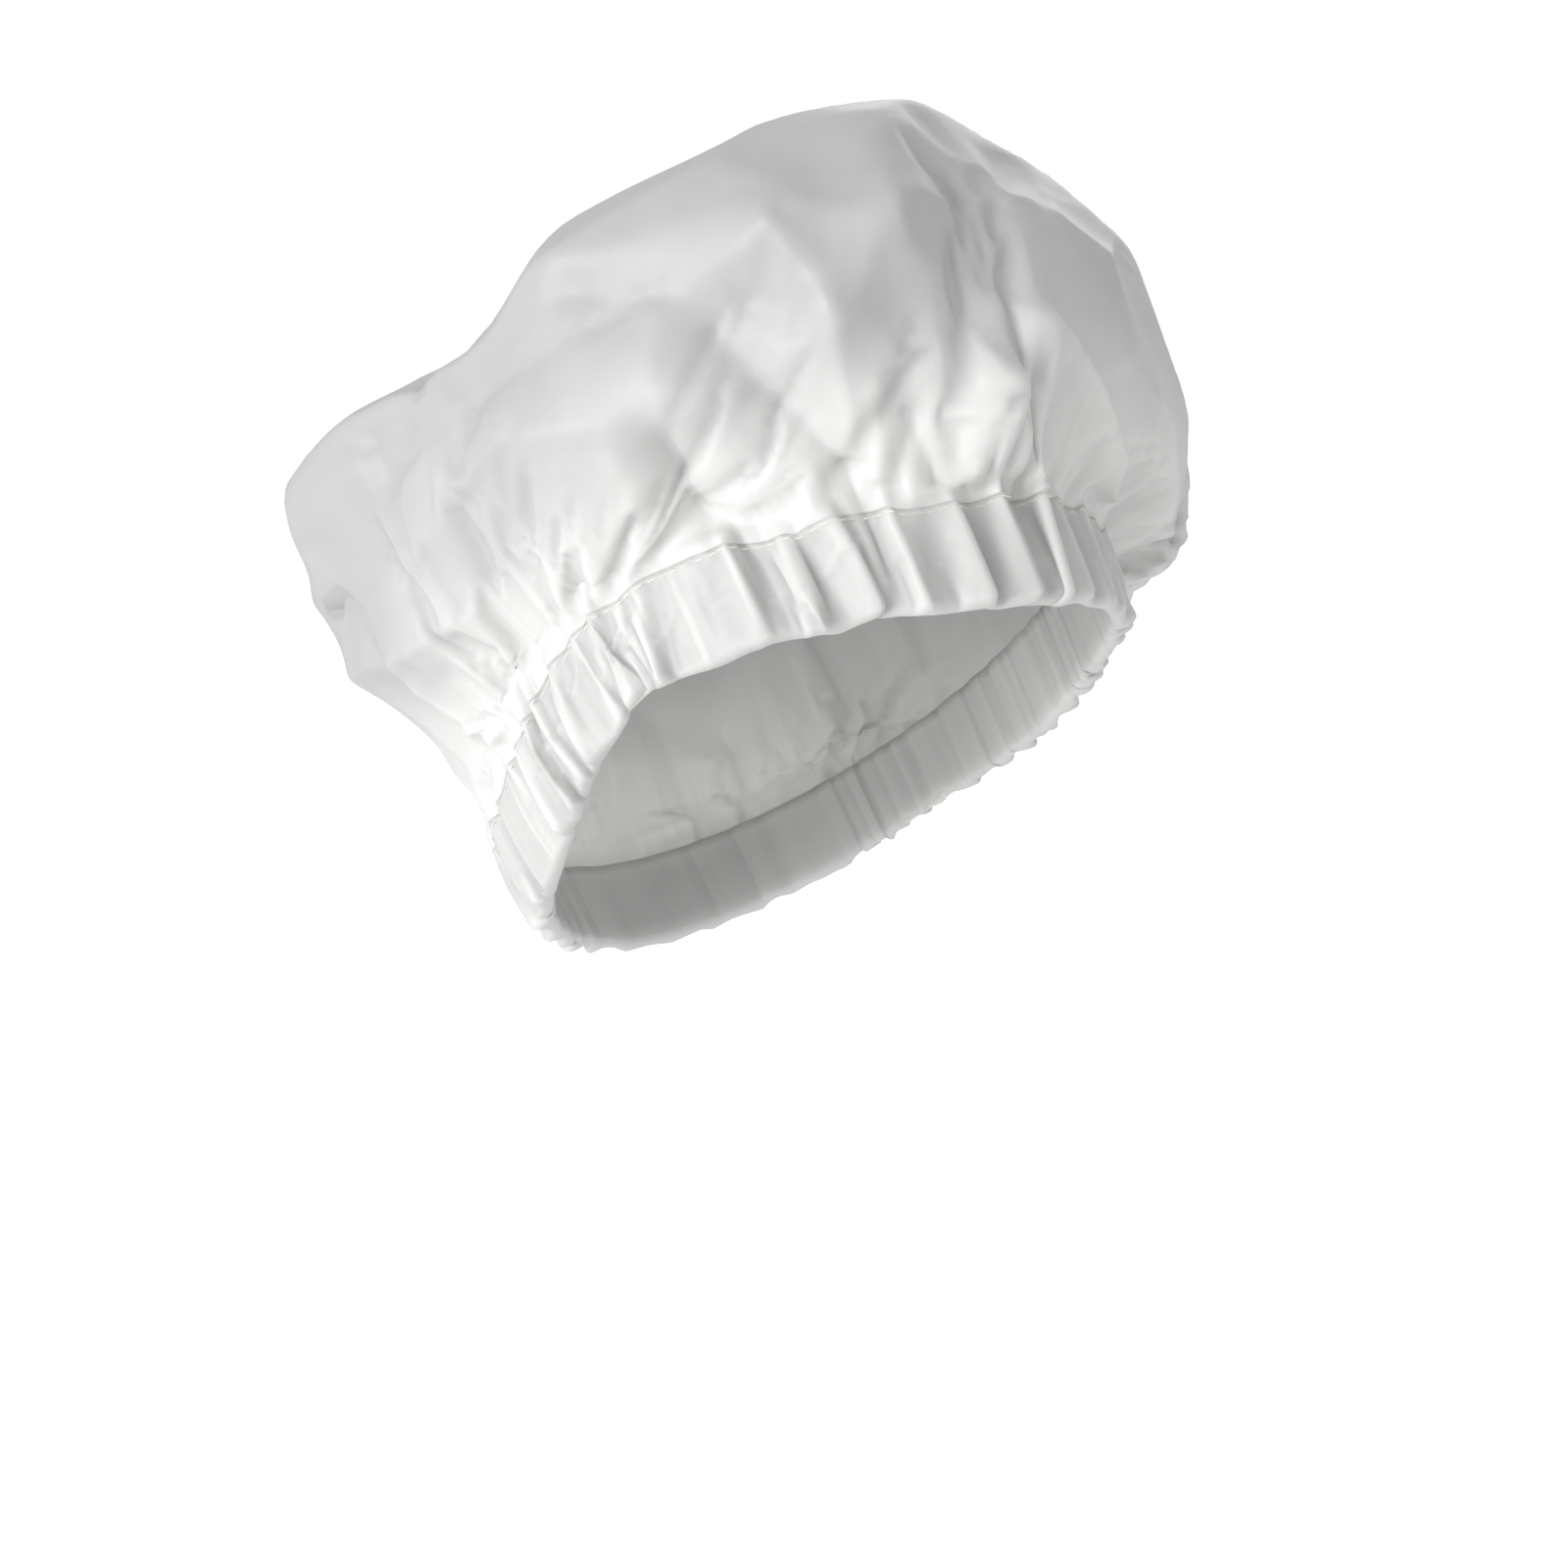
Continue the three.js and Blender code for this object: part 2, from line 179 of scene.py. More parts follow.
@dataclass(frozen=True)
class ScatteredFolds:
    """Gathers that rise from the hem round the back, and creases over the top, by a fixed seed.

    Angles are in degrees, levels count sections, and heights and widths are in millimetres.
    """

    seed: int = 21
    gathers: int = 34
    gather_from: float = 58.0
    gather_span: float = 206.0
    gather_jitter: Range = (0.1, 0.9)
    gather_foot: Range = (0.5, 1.2)
    gather_run: Range = (1.2, 3.6)
    gather_height: Range = (1.6, 3.4)
    gather_width: Range = (5.0, 9.0)
    gather_sway: float = 5.0
    creases: int = 26
    crease_angle: Range = (30.0, 300.0)
    crease_level: Range = (4.0, 7.4)
    crease_sway: float = 26.0
    crease_climb: Range = (-0.6, 1.8)
    crease_top: float = 8.2
    crease_height: Range = (-2.2, 2.2)
    crease_width: Range = (6.0, 11.0)

    def build(self) -> tuple[Fold, ...]:
        """Draws the folds.

        Returns:
            One row for each fold.
        """
        rng = np.random.default_rng(self.seed)
        made = [self.gather(rng, number) for number in range(self.gathers)]
        made += [self.crease(rng, number) for number in range(self.creases)]
        return tuple(made)

    def gather(self, rng: np.random.Generator, number: int) -> Fold:
        """Draws one gather, a valley or a ridge by turns.

        Args:
            rng: The source of random numbers.
            number: Which gather it is, counted round the back.

        Returns:
            The gather's row.
        """
        place = number + rng.uniform(*self.gather_jitter)
        angle = self.gather_from + self.gather_span * place / self.gathers
        foot = rng.uniform(*self.gather_foot)
        head = foot + rng.uniform(*self.gather_run)
        height = rng.uniform(*self.gather_height) * (1 if number % 2 else -1)
        width = rng.uniform(*self.gather_width)
        to_angle = angle + rng.normal(0, self.gather_sway)
        return Fold(f"gather {number}", angle, foot, to_angle, head, height, width, CREASE)

    def crease(self, rng: np.random.Generator, number: int) -> Fold:
        """Draws one crease over the top.

        Args:
            rng: The source of random numbers.
            number: Which crease it is.

        Returns:
            The crease's row.
        """
        angle = rng.uniform(*self.crease_angle)
        level = rng.uniform(*self.crease_level)
        to_angle = angle + rng.normal(0, self.crease_sway)
        to_level = min(level + rng.uniform(*self.crease_climb), self.crease_top)
        height = rng.uniform(*self.crease_height)
        width = rng.uniform(*self.crease_width)
        return Fold(f"crease {number}", angle, level, to_angle, to_level, height, width, CREASE)


LINES: tuple[Fold, ...] = tuple(fold for fold in FOLDS if fold.shape is not SWELL) + ScatteredFolds().build()


def spline(values: Array, position: Array) -> Array:
    """Runs a smooth curve through equally spaced values.

    Args:
        values: The values at positions 0, 1, 2 and so on.
        position: Where to read the curve.

    Returns:
        The curve's value at each position.
    """
    last = len(values) - 1
    index = np.clip(np.floor(position).astype(int), 0, last - 1)
    step = (position - index).reshape(position.shape + (1,) * (values.ndim - 1))
    here = values[index]
    after_here = values[index + 1]
    begins = (index > 0).reshape(step.shape)
    ends = (index + 2 <= last).reshape(step.shape)
    before = np.where(begins, values[np.maximum(index - 1, 0)], 2 * here - after_here)
    beyond = np.where(ends, values[np.minimum(index + 2, last)], 2 * after_here - here)
    slope = after_here - before
    bend = 2 * before - 5 * here + 4 * after_here - beyond
    twist = 3 * (here - after_here) + beyond - before
    return here + 0.5 * step * (slope + step * (bend + step * twist))


def smooth_step(value: Array, low: float, high: float) -> Array:
    """Eases from 0 below low to 1 above high."""
    share = np.clip((value - low) / (high - low), 0.0, 1.0)
    return share * share * (3.0 - 2.0 * share)


def wrap(angle: Array) -> Array:
    """Brings an angle in radians into the half turn either side of zero."""
    return angle - FULL_TURN * np.round(angle / FULL_TURN)


def even_turn(columns: int) -> Array:
    """Spaces a ring's columns evenly round the cap, in radians."""
    return np.arange(columns) * FULL_TURN / columns


def ring_points(angle: Array, reach: Array, rise: Array) -> Array:
    """Places points by their angle from the front, reach from the cap's axis and rise above the hem."""
    return np.stack([reach * np.sin(angle), -reach * np.cos(angle), rise], axis=-1)


def along_ring(angle: Array) -> Array:
    """Gives the direction round the cap at each angle."""
    return np.stack([np.cos(angle), np.sin(angle), np.zeros_like(angle)], axis=-1)


def unit(vectors: Array) -> Array:
    """Scales each vector of the last axis to length one."""
    return vectors / np.maximum(np.linalg.norm(vectors, axis=-1, keepdims=True), TINY)


@dataclass(frozen=True)
class CapForm:
    """The puffed form of the cap in its own frame: z along the hem's axis, y to the back."""

    hem_half_width: float = 79.0
    hem_half_depth: float = 105.0
    casing_height: float = 27.0
    casing_flare: float = 2.0
    tilt_deg: float = 43.0
    section_pitch: float = 22.0
    bend_fade: Range = (0.5, 3.2)
    lap_drop_share: float = 0.4
    lap_overhang: float = 2.5
    lap_turn: float = 2.0
    lap_tip: float = 1.2
    fold_tip: float = 0.5
    crease_power: float = 1.2
    swell_power: float = 2.0

    def column(self, name: str) -> Array:
        """Reads one column of the section table."""
        return np.array([getattr(section, name) for section in SECTIONS], float)

    def either(self, first: Array, name: str, other: str, level: Array) -> Array:
        """Reads one column of the table where first holds, and another column elsewhere."""
        return np.where(first, spline(self.column(name), level), spline(self.column(other), level))

    def point(self, angle: Array, level: Array) -> Array:
        """Gives points of the form before any fold.

        Args:
            angle: Angle round the cap from the front, in radians.
            level: Place between the sections, 0 at the seam.

        Returns:
            Points in millimetres in the cap's frame.
        """
        ahead = np.cos(angle) >= 0
        leftward = np.sin(angle) >= 0
        fore_reach = self.either(ahead, "front_reach", "back_reach", level)
        fore_rise = self.either(ahead, "front_rise", "back_rise", level)
        side_reach = self.either(leftward, "left_reach", "right_reach", level)
        side_rise = self.either(leftward, "left_rise", "right_rise", level)
        across = np.hypot(side_reach * np.cos(angle), fore_reach * np.sin(angle))
        reach = fore_reach * side_reach / np.maximum(across, TINY)
        share = np.cos(angle) ** 2
        follows = 1 - smooth_step(level, *self.bend_fade)
        rise = share * fore_rise + (1 - share) * side_rise + self.hem_bend(angle) * follows
        return ring_points(angle, reach, rise)

    def normal(self, angle: Array, level: Array) -> Array:
        """Gives the form's outward direction at each place."""
        step = 0.01
        top = len(SECTIONS) - 1 - step
        level = np.minimum(level, top - step)
        around = self.point(angle + step, level) - self.point(angle - step, level)
        up = self.point(angle, level + step) - self.point(angle, np.maximum(level - step, 0.0))
        return unit(np.cross(around, up))

    def hem_bend(self, angle: Array) -> Array:
        """Gives how far the hem rises out of its plane at an angle."""
        rise = np.zeros_like(angle)
        for bend in HEM_BENDS:
            away = wrap(angle - math.radians(bend.angle)) / math.radians(bend.spread)
            rise = rise + bend.rise * np.exp(-(away**2))
        return rise

    def fold_offset(self, fold: Fold, angle: Array, level: Array, reach: Array) -> tuple[Array, Array]:
        """Gives how one fold moves the film.

        Args:
            fold: The fold's row.
            angle: Angle round the cap, in radians.
            level: Place between the sections.
            reach: Distance of each point from the cap's axis.

        Returns:
            The height, positive outwards, and the sideways shift of a lap, in millimetres.
        """
        start_across = wrap(angle - math.radians(fold.from_angle)) * reach
        start_up = (level - fold.from_section) * self.section_pitch
        run_across = math.radians(fold.to_angle - fold.from_angle) * reach
        run_up = (fold.to_section - fold.from_section) * self.section_pitch
        length = np.hypot(run_across, run_up)
        along = np.clip((start_across * run_across + start_up * run_up) / length**2, 0.0, 1.0)
        distance = np.hypot(start_across - along * run_across, start_up - along * run_up)
        tip = self.lap_tip if fold.shape is LAP else self.fold_tip
        distance = np.hypot(distance, tip) - tip
        if fold.shape is not LAP:
            power = self.swell_power if fold.shape is SWELL else self.crease_power
            return fold.height * np.exp(-((distance / fold.width) ** power)), np.zeros_like(distance)
        beside = (run_across * start_up - run_up * start_across) / length
        drops = 0.5 + 0.5 * np.tanh(beside / self.lap_turn)
        width = fold.width * (1 - (1 - self.lap_drop_share) * drops)
        share = np.exp(-((distance / width) ** self.crease_power))
        return fold.height * share, self.lap_overhang * share * -run_up / length

    def hem_reach(self, angle: Array, rise: Array) -> Array:
        """Gives the hem ring's reach at an angle and a height above its edge."""
        flare = self.casing_flare * rise / self.casing_height
        depth = self.hem_half_depth + flare
        width = self.hem_half_width + flare
        return depth * width / np.hypot(width * np.cos(angle), depth * np.sin(angle))

    def place(self, points: Array) -> Array:
        """Turns points of the cap's frame, in millimetres, into the part's frame, in metres."""
        tilt = math.radians(self.tilt_deg)
        y = points[..., 1] * math.cos(tilt) + points[..., 2] * math.sin(tilt)
        z = -points[..., 1] * math.sin(tilt) + points[..., 2] * math.cos(tilt)
        return np.stack([points[..., 0], y, z], axis=-1) * MM


@dataclass(frozen=True)
class PleatRing:
    """Pleats drawn round the hem by the elastic, each with its own depth, lean and height."""

    count: int = 48
    seed: int = 7
    depth: float = 3.5
    lean: float = 3.6
    run: float = 24.0
    peak_power: float = 1.6
    fade_power: float = 1.5
    valley_share: Range = (0.65, 1.25)
    crest_share: Range = (0.0, 0.3)
    run_share: Range = (0.5, 1.9)
    lean_mean: float = 0.35
    lean_spread: float = 0.7
    drift: tuple[tuple[int, float, float], ...] = ((5, 0.035, 3.5), (11, 0.018, 2.1))

    def angle(self, turn: Array) -> Array:
        """Lets the pleats wander a little from even spacing."""
        return turn + sum(swing * np.sin(waves * turn + phase) for waves, swing, phase in self.drift)

    def offsets(self, turn: Array, climb: Array) -> tuple[Array, Array]:
        """Works out how far the pleats push the film.

        Args:
            turn: Even turn round the hem, in radians.
            climb: Height above the seam in millimetres, below zero in the casing.

        Returns:
            The outward and the sideways offset in millimetres.
        """
        rng = np.random.default_rng(self.seed)
        valley = rng.uniform(*self.valley_share, self.count) * self.depth
        crest = rng.uniform(*self.crest_share, self.count) * self.depth
        lean = rng.normal(self.lean_mean, self.lean_spread, self.count) * self.lean
        run = rng.uniform(*self.run_share, self.count) * self.run
        place = np.mod(turn / FULL_TURN, 1.0) * self.count
        index = np.floor(place).astype(int) % self.count
        following = (index + 1) % self.count
        share = place - np.floor(place)
        peak = np.abs(2 * share - 1) ** self.peak_power
        blend = smooth_step(share, 0.0, 1.0)
        fade = np.exp(-((np.maximum(climb, 0.0) / run[index]) ** self.fade_power))
        crest_here = crest[index] * (1 - blend) + crest[following] * blend
        lean_here = lean[index] * (1 - blend) + lean[following] * blend
        outward = crest_here * peak - valley[index] * (1 - peak)
        sideways = lean_here * peak
        return outward * fade, sideways * fade


def link_object(name: str, data: bpy.types.ID) -> bpy.types.Object:
    """Puts a mesh, lamp or camera into the scene as an object at the origin."""
    made = bpy.data.objects.new(name, data)
    bpy.context.scene.collection.objects.link(made)
    return made


def mesh_object(
    name: str, points: Array, faces: Faces, material: bpy.types.Material, flat_faces: int = 0
) -> bpy.types.Object:
    """Makes a smooth-shaded mesh object at the origin.

    Args:
        name: The piece's name.
        points: Vertex places in metres.
        faces: Vertex indices of each face.
        material: The finish.
        flat_faces: How many of the last faces, such as those of a rim, are shaded flat.

    Returns:
        The linked object.
    """
    mesh = bpy.data.meshes.new(name)
    mesh.from_pydata(points.tolist(), [], faces)
    mesh.polygons.foreach_set("use_smooth", np.arange(len(faces)) < len(faces) - flat_faces)
    mesh.materials.append(material)
    mesh.update()
    return link_object(name, mesh)


def set_attribute(obj: bpy.types.Object, name: str, values: Array) -> None:
    """Stores one number for each vertex of a piece."""
    attribute = obj.data.attributes.new(name, "FLOAT", "POINT")
    attribute.data.foreach_set("value", values.astype(np.float32))


class NodeKit:
    """A short hand for building one node tree."""

    def __init__(self, tree: bpy.types.NodeTree) -> None:
        """Keeps the tree that nodes are added to."""
        self.tree = tree

    def add(self, kind: str, **values: Any) -> bpy.types.Node:
        """Adds a node and sets its properties and sockets.

        Args:
            kind: The node's type name.
            **values: Properties of the node, or socket values by name.

        Returns:
            The new node.
        """
        node = self.tree.nodes.new(kind)
        for name, value in values.items():
            if hasattr(node, name):
                setattr(node, name, value)
            else:
                node.inputs[name.replace("_", " ")].default_value = value
        return node

    def link(self, source: bpy.types.NodeSocket, target: bpy.types.NodeSocket) -> None:
        """Joins two sockets."""
        self.tree.links.new(source, target)


def blank_material(name: str) -> tuple[bpy.types.Material, NodeKit]:
    """Makes a material with an empty tree.

    Args:
        name: The finish's name.
    """
    material = bpy.data.materials.new(name)
    material.use_nodes = True
    material.node_tree.nodes.clear()
    return material, NodeKit(material.node_tree)


@dataclass(frozen=True)
class CloudyTint:
    """A shader group that both finishes use: two colours mixed by a mottle about a given share."""

    name: str = "cloudy_tint"
    detail: float = 3.0
    roughness: float = 0.55
    noise_middle: float = 0.5

    def build(self) -> bpy.types.NodeTree:
        """Makes the group with its named inputs and outputs.

        Returns:
            The shader group.
        """
        tree = bpy.data.node_groups.new(self.name, "ShaderNodeTree")
        sockets = tree.interface
        sockets.new_socket("Vector", in_out="INPUT", socket_type="NodeSocketVector")
        for name in ("Scale", "Share", "Spread"):
            sockets.new_socket(name, in_out="INPUT", socket_type="NodeSocketFloat")
        for name in ("Low", "High"):
            sockets.new_socket(name, in_out="INPUT", socket_type="NodeSocketColor")
        sockets.new_socket("Color", in_out="OUTPUT", socket_type="NodeSocketColor")
        sockets.new_socket("Height", in_out="OUTPUT", socket_type="NodeSocketFloat")
        kit = NodeKit(tree)
        given = kit.add("NodeGroupInput")
        mottle = kit.add("ShaderNodeTexNoise", Detail=self.detail, Roughness=self.roughness)
        kit.link(given.outputs["Vector"], mottle.inputs["Vector"])
        kit.link(given.outputs["Scale"], mottle.inputs["Scale"])
        middle = kit.add("ShaderNodeMath", operation="SUBTRACT")
        middle.inputs[1].default_value = self.noise_middle
        kit.link(mottle.outputs["Fac"], middle.inputs[0])
        share = kit.add("ShaderNodeMath", operation="MULTIPLY_ADD", use_clamp=True)
        kit.link(middle.outputs["Value"], share.inputs[0])
        kit.link(given.outputs["Spread"], share.inputs[1])
        kit.link(given.outputs["Share"], share.inputs[2])
        # A mix of colours takes them at its seventh and eighth inputs, and gives the result third.
        colour = kit.add("ShaderNodeMix", data_type="RGBA")
        kit.link(share.outputs["Value"], colour.inputs["Factor"])
        kit.link(given.outputs["Low"], colour.inputs[6])
        kit.link(given.outputs["High"], colour.inputs[7])
        made = kit.add("NodeGroupOutput")
        kit.link(colour.outputs[2], made.inputs["Color"])
        kit.link(mottle.outputs["Fac"], made.inputs["Height"])
        return tree


@dataclass(frozen=True)
class FilmFinish:
    """Milky plastic film with painted light and shade: whiter near the hem and on ridges, greyer towards the
    top and in valleys, with faint clouding and fine crinkles.
    """

    tint: bpy.types.NodeTree
    name: str = "milky_film"
    # The grey colour is the low cloud tone and painted shade; the white colour is the high cloud tone and
    # painted light.
    cloud_and_shade_colour: Colour = (0.60, 0.605, 0.60, 1.0)
    cloud_and_light_colour: Colour = (0.96, 0.965, 0.95, 1.0)
    cloud_scale: float = 22.0
    cloud_spread: float = 0.8
    pass_share: float = 0.4
    pass_colour: Colour = (0.9, 0.905, 0.895, 1.0)
    refraction: float = 1.5
    cloud_band: Range = (0.3, 0.7)
    roughness: Range = (0.30, 0.46)
    crinkle_scale: float = 90.0
    crinkle_detail: float = 4.0
    crinkle_roughness: float = 0.6
    crinkle_strength: float = 0.35
    crinkle_height: float = 0.0006

    def build(self) -> bpy.types.Material:
        """Makes the material.

        Returns:
            The finished material.
        """
        material, kit = blank_material(self.name)
        place = kit.add("ShaderNodeTexCoord")
        # The gather attribute carries painted light and shade: high near the hem and on ridges, low towards
        # the top and in valleys.
        gather = kit.add("ShaderNodeAttribute", attribute_name="gather")
        tint = kit.add(
            "ShaderNodeGroup",
            node_tree=self.tint,
            Scale=self.cloud_scale,
            Spread=self.cloud_spread,
            Low=self.cloud_and_shade_colour,
            High=self.cloud_and_light_colour,
        )
        kit.link(place.outputs["Object"], tint.inputs["Vector"])
        kit.link(gather.outputs["Fac"], tint.inputs["Share"])
        crinkle = kit.add(
            "ShaderNodeTexNoise",
            Scale=self.crinkle_scale,
            Detail=self.crinkle_detail,
            Roughness=self.crinkle_roughness,
        )
        kit.link(place.outputs["Object"], crinkle.inputs["Vector"])
        gloss = kit.add(
            "ShaderNodeMapRange",
            From_Min=self.cloud_band[0],
            From_Max=self.cloud_band[1],
            To_Min=self.roughness[0],
            To_Max=self.roughness[1],
        )
        kit.link(tint.outputs["Height"], gloss.inputs["Value"])
        bump = kit.add("ShaderNodeBump", Strength=self.crinkle_strength, Distance=self.crinkle_height)
        kit.link(crinkle.outputs["Fac"], bump.inputs["Height"])
        film = kit.add("ShaderNodeBsdfPrincipled", IOR=self.refraction)
        kit.link(tint.outputs["Color"], film.inputs["Base Color"])
        kit.link(gloss.outputs["Result"], film.inputs["Roughness"])
        kit.link(bump.outputs["Normal"], film.inputs["Normal"])
        glow = kit.add("ShaderNodeBsdfTranslucent", Color=self.pass_colour)
        kit.link(bump.outputs["Normal"], glow.inputs["Normal"])
        both = kit.add("ShaderNodeMixShader", Fac=self.pass_share)
        kit.link(film.outputs["BSDF"], both.inputs[1])
        kit.link(glow.outputs["BSDF"], both.inputs[2])
        output = kit.add("ShaderNodeOutputMaterial")
        kit.link(both.outputs["Shader"], output.inputs["Surface"])
        return material


@dataclass(frozen=True)
class TextileFinish:
    """Plain white thread and woven elastic, with a fine fibre mottle."""

    tint: bpy.types.NodeTree
    name: str = "white_textile"
    colour: Colour = (0.88, 0.87, 0.84, 1.0)
    shade: Colour = (0.68, 0.67, 0.64, 1.0)
    fibre_scale: float = 900.0
    fibre_share: float = 0.5
    fibre_spread: float = 2.0
    fibre_strength: float = 0.4
    fibre_height: float = 0.0002
    roughness: float = 0.85

    def build(self) -> bpy.types.Material:
        """Makes the material.

        Returns:
            The finished material.
        """
        material, kit = blank_material(self.name)
        place = kit.add("ShaderNodeTexCoord")
        tint = kit.add(
            "ShaderNodeGroup",
            node_tree=self.tint,
            Scale=self.fibre_scale,
            Share=self.fibre_share,
            Spread=self.fibre_spread,
            Low=self.shade,
            High=self.colour,
        )
        kit.link(place.outputs["Object"], tint.inputs["Vector"])
        bump = kit.add("ShaderNodeBump", Strength=self.fibre_strength, Distance=self.fibre_height)
        kit.link(tint.outputs["Height"], bump.inputs["Height"])
        cloth = kit.add("ShaderNodeBsdfPrincipled", Roughness=self.roughness)
        kit.link(tint.outputs["Color"], cloth.inputs["Base Color"])
        kit.link(bump.outputs["Normal"], cloth.inputs["Normal"])
        output = kit.add("ShaderNodeOutputMaterial")
        kit.link(cloth.outputs["BSDF"], output.inputs["Surface"])
        return material


class RingBand(NamedTuple):
    """A stretch of the crown: how much its mesh columns are thinned, and its rings on the full net."""

    thinning: int
    low: float
    high: float
    rings: int


FULL_COLUMNS = 504

BANDS: tuple[RingBand, ...] = (
    RingBand(1, 0.0, 4.6, 64),
    RingBand(2, 4.66, 6.8, 24),
    RingBand(4, 6.9, 8.8, 14),
)


@dataclass(frozen=True)
class FilmNet:
    """Rings of points over the whole outer film, from the hem's edge to the apex.

    Levels below 0 lie in the hem casing, and level 0 is the seam.
    """

    form: CapForm
    pleats: PleatRing
    columns: int = FULL_COLUMNS
    casing_rings: int = 16
    edge_rise: float = 2.7
    casing_puff: float = 1.2
    pleat_climb: float = 0.55
    hem_excess: float = 0.16
    high_excess: float = 0.02
    excess_fade: float = 1.5
    excess_power: float = 1.5

    def ring_levels(self) -> list[tuple[int, float]]:
        """Lists each ring's column count and level, from the hem up, with fewer of both towards the apex."""
        casing = np.linspace(HEM_LEVEL, 0.0, self.casing_rings + 1)[:-1]
        rings = [(self.columns, float(level)) for level in casing]
        for band in BANDS:
            levels = np.linspace(band.low, band.high, round(band.rings * self.columns / FULL_COLUMNS))
            rings += [(self.columns // band.thinning, float(level)) for level in levels]
        return rings

    def worn_points(self, turn: Array, level: float, pleated: bool = True) -> Array:
        """Works out where one ring of the film lies when the cap is worn.

        Args:
            turn: Even turn round the cap, in radians.
            level: Place between the sections, below 0 in the casing.
            pleated: Whether the hem's pleats are drawn in.

        Returns:
            Points in the cap's frame, in millimetres.
        """
        angle = self.pleats.angle(turn)
        levels = np.full_like(turn, max(level, 0.0))
        base = self.form.point(angle, levels)
        radial = ring_points(angle, np.ones_like(angle), np.zeros_like(angle))
        outward = radial
        height = np.zeros_like(turn)
        if level < 0:
            share = level / HEM_LEVEL
            rise = SECTIONS[0].front_rise * (1 - share) + self.edge_rise * share
            puff = self.casing_puff * math.sin(math.pi * share)
            base = radial * (self.form.hem_reach(angle, rise) + puff)[:, None]
            base[:, 2] = rise + self.form.hem_bend(angle)
        else:
            normal = self.form.normal(angle, levels)
            ease = float(smooth_step(np.array(level), 0.0, 1.0))
            outward = unit(radial * (1 - ease) + normal * ease)
            height = ease * self.fold_offsets(angle, levels, SWELLS)[0]
        if not pleated:
            return base + outward * height[:, None]
        push, lean = self.pleats.offsets(turn, levels * self.form.section_pitch * self.pleat_climb)
        return base + outward * (height + push)[:, None] + along_ring(angle) * lean[:, None]

    def fold_offsets(self, angle: Array, levels: Array, folds: tuple[Fold, ...]) -> tuple[Array, Array]:
        """Adds up some folds.

        Args:
            angle: Angle round the cap, in radians.
            levels: Place between the sections, below 0 in the casing.
            folds: The folds to add.

        Returns:
            The height and the sideways shift in millimetres.
        """
        base = self.form.point(angle, np.maximum(levels, 0.0))
        reach = np.hypot(base[:, 0], base[:, 1])
        height = np.zeros_like(angle)
        slide = np.zeros_like(angle)
        for fold in folds:
            lift, shift = self.form.fold_offset(fold, angle, levels, reach)
            height = height + lift
            slide = slide + shift
        return height, slide

    def apex(self) -> Array:
        """Gives the film's topmost point as a row of its own."""
        return np.array([[0.0, 0.0, SECTIONS[-1].front_rise]])

    def worn(self) -> Array:
        """Works out every vertex's worn place."""
        parts = [self.worn_points(even_turn(columns), level) for columns, level in self.ring_levels()]
        return np.concatenate(parts + [self.apex()])

    def loose_rings(self) -> list[Array]:
        """Works out the film before the elastic draws it in.

        The film is wider round than the worn form, more so towards the hem, and as long from apex to hem.

        Returns:
            One array of points for each ring.
        """
        rings = self.ring_levels()
        shaped: dict[int, tuple[Array, Array]] = {}
        for columns in sorted({count for count, _ in rings}):
            turn = even_turn(columns)
            worn = np.stack([self.worn_points(turn, level, pleated=False) for _, level in rings])
            worn = np.concatenate([worn, np.broadcast_to(self.apex(), (1, columns, 3))])
            steps = np.linalg.norm(np.diff(worn, axis=0), axis=-1)
            below = np.cumsum(steps[::-1], axis=0)[::-1]
            length = np.concatenate([below, np.zeros((1, columns))])
            reach = np.hypot(worn[..., 0], worn[..., 1])
            levels = np.array([max(level, 0.0) for _, level in rings] + [float(len(SECTIONS) - 1)])
            fade = np.exp(-((levels / self.excess_fade) ** self.excess_power))
            share = self.hem_excess * fade + self.high_excess
            wide = reach + share[:, None] * (length - reach)
            fall = np.sqrt(np.maximum(steps**2 - np.diff(wide, axis=0) ** 2, TINY))
            drop = np.concatenate([np.cumsum(fall[::-1], axis=0)[::-1], np.zeros((1, columns))])
            shaped[columns] = (wide, SECTIONS[-1].front_rise - drop)
        loose: list[Array] = []
        for index, (columns, _) in enumerate(rings):
            wide, high = shaped[columns]
            loose.append(ring_points(even_turn(columns), wide[index], high[index]))
        return loose

    def spread(self, values: Array, fine: "FilmNet") -> Array:
        """Carries values from this net's vertices to a finer net's.

        Args:
            values: One vector for each of this net's vertices.
            fine: The finer net.

        Returns:
            One vector for each of the finer net's vertices.
        """
        rings = self.ring_levels()
        even: list[Array] = []
        for start, (columns, _) in zip(self.starts(), rings):
            # The ring's ends are repeated past each other, so that the curve closes.
            ring = values[start : start + columns]
            around = np.concatenate([ring[-2:], ring, ring[:3]])
            place = np.arange(fine.columns) * columns / fine.columns + 2
            even.append(spline(around, place))
        even.append(np.repeat(values[-1:], fine.columns, axis=0))
        stack = np.stack(even)
        levels = [level for _, level in rings] + [float(len(SECTIONS) - 1)]
        parts: list[Array] = []
        for columns, level in fine.ring_levels():
            row = np.full(1, np.interp(level, levels, np.arange(len(levels))))
            parts.append(spline(stack, row)[0][:: fine.columns // columns])
        return np.concatenate(parts + [values[-1:]])

    def starts(self) -> list[int]:
        """Gives the first vertex of each ring, and the apex as the last entry."""
        counts = [columns for columns, _ in self.ring_levels()]
        return [0] + np.cumsum(counts).tolist()

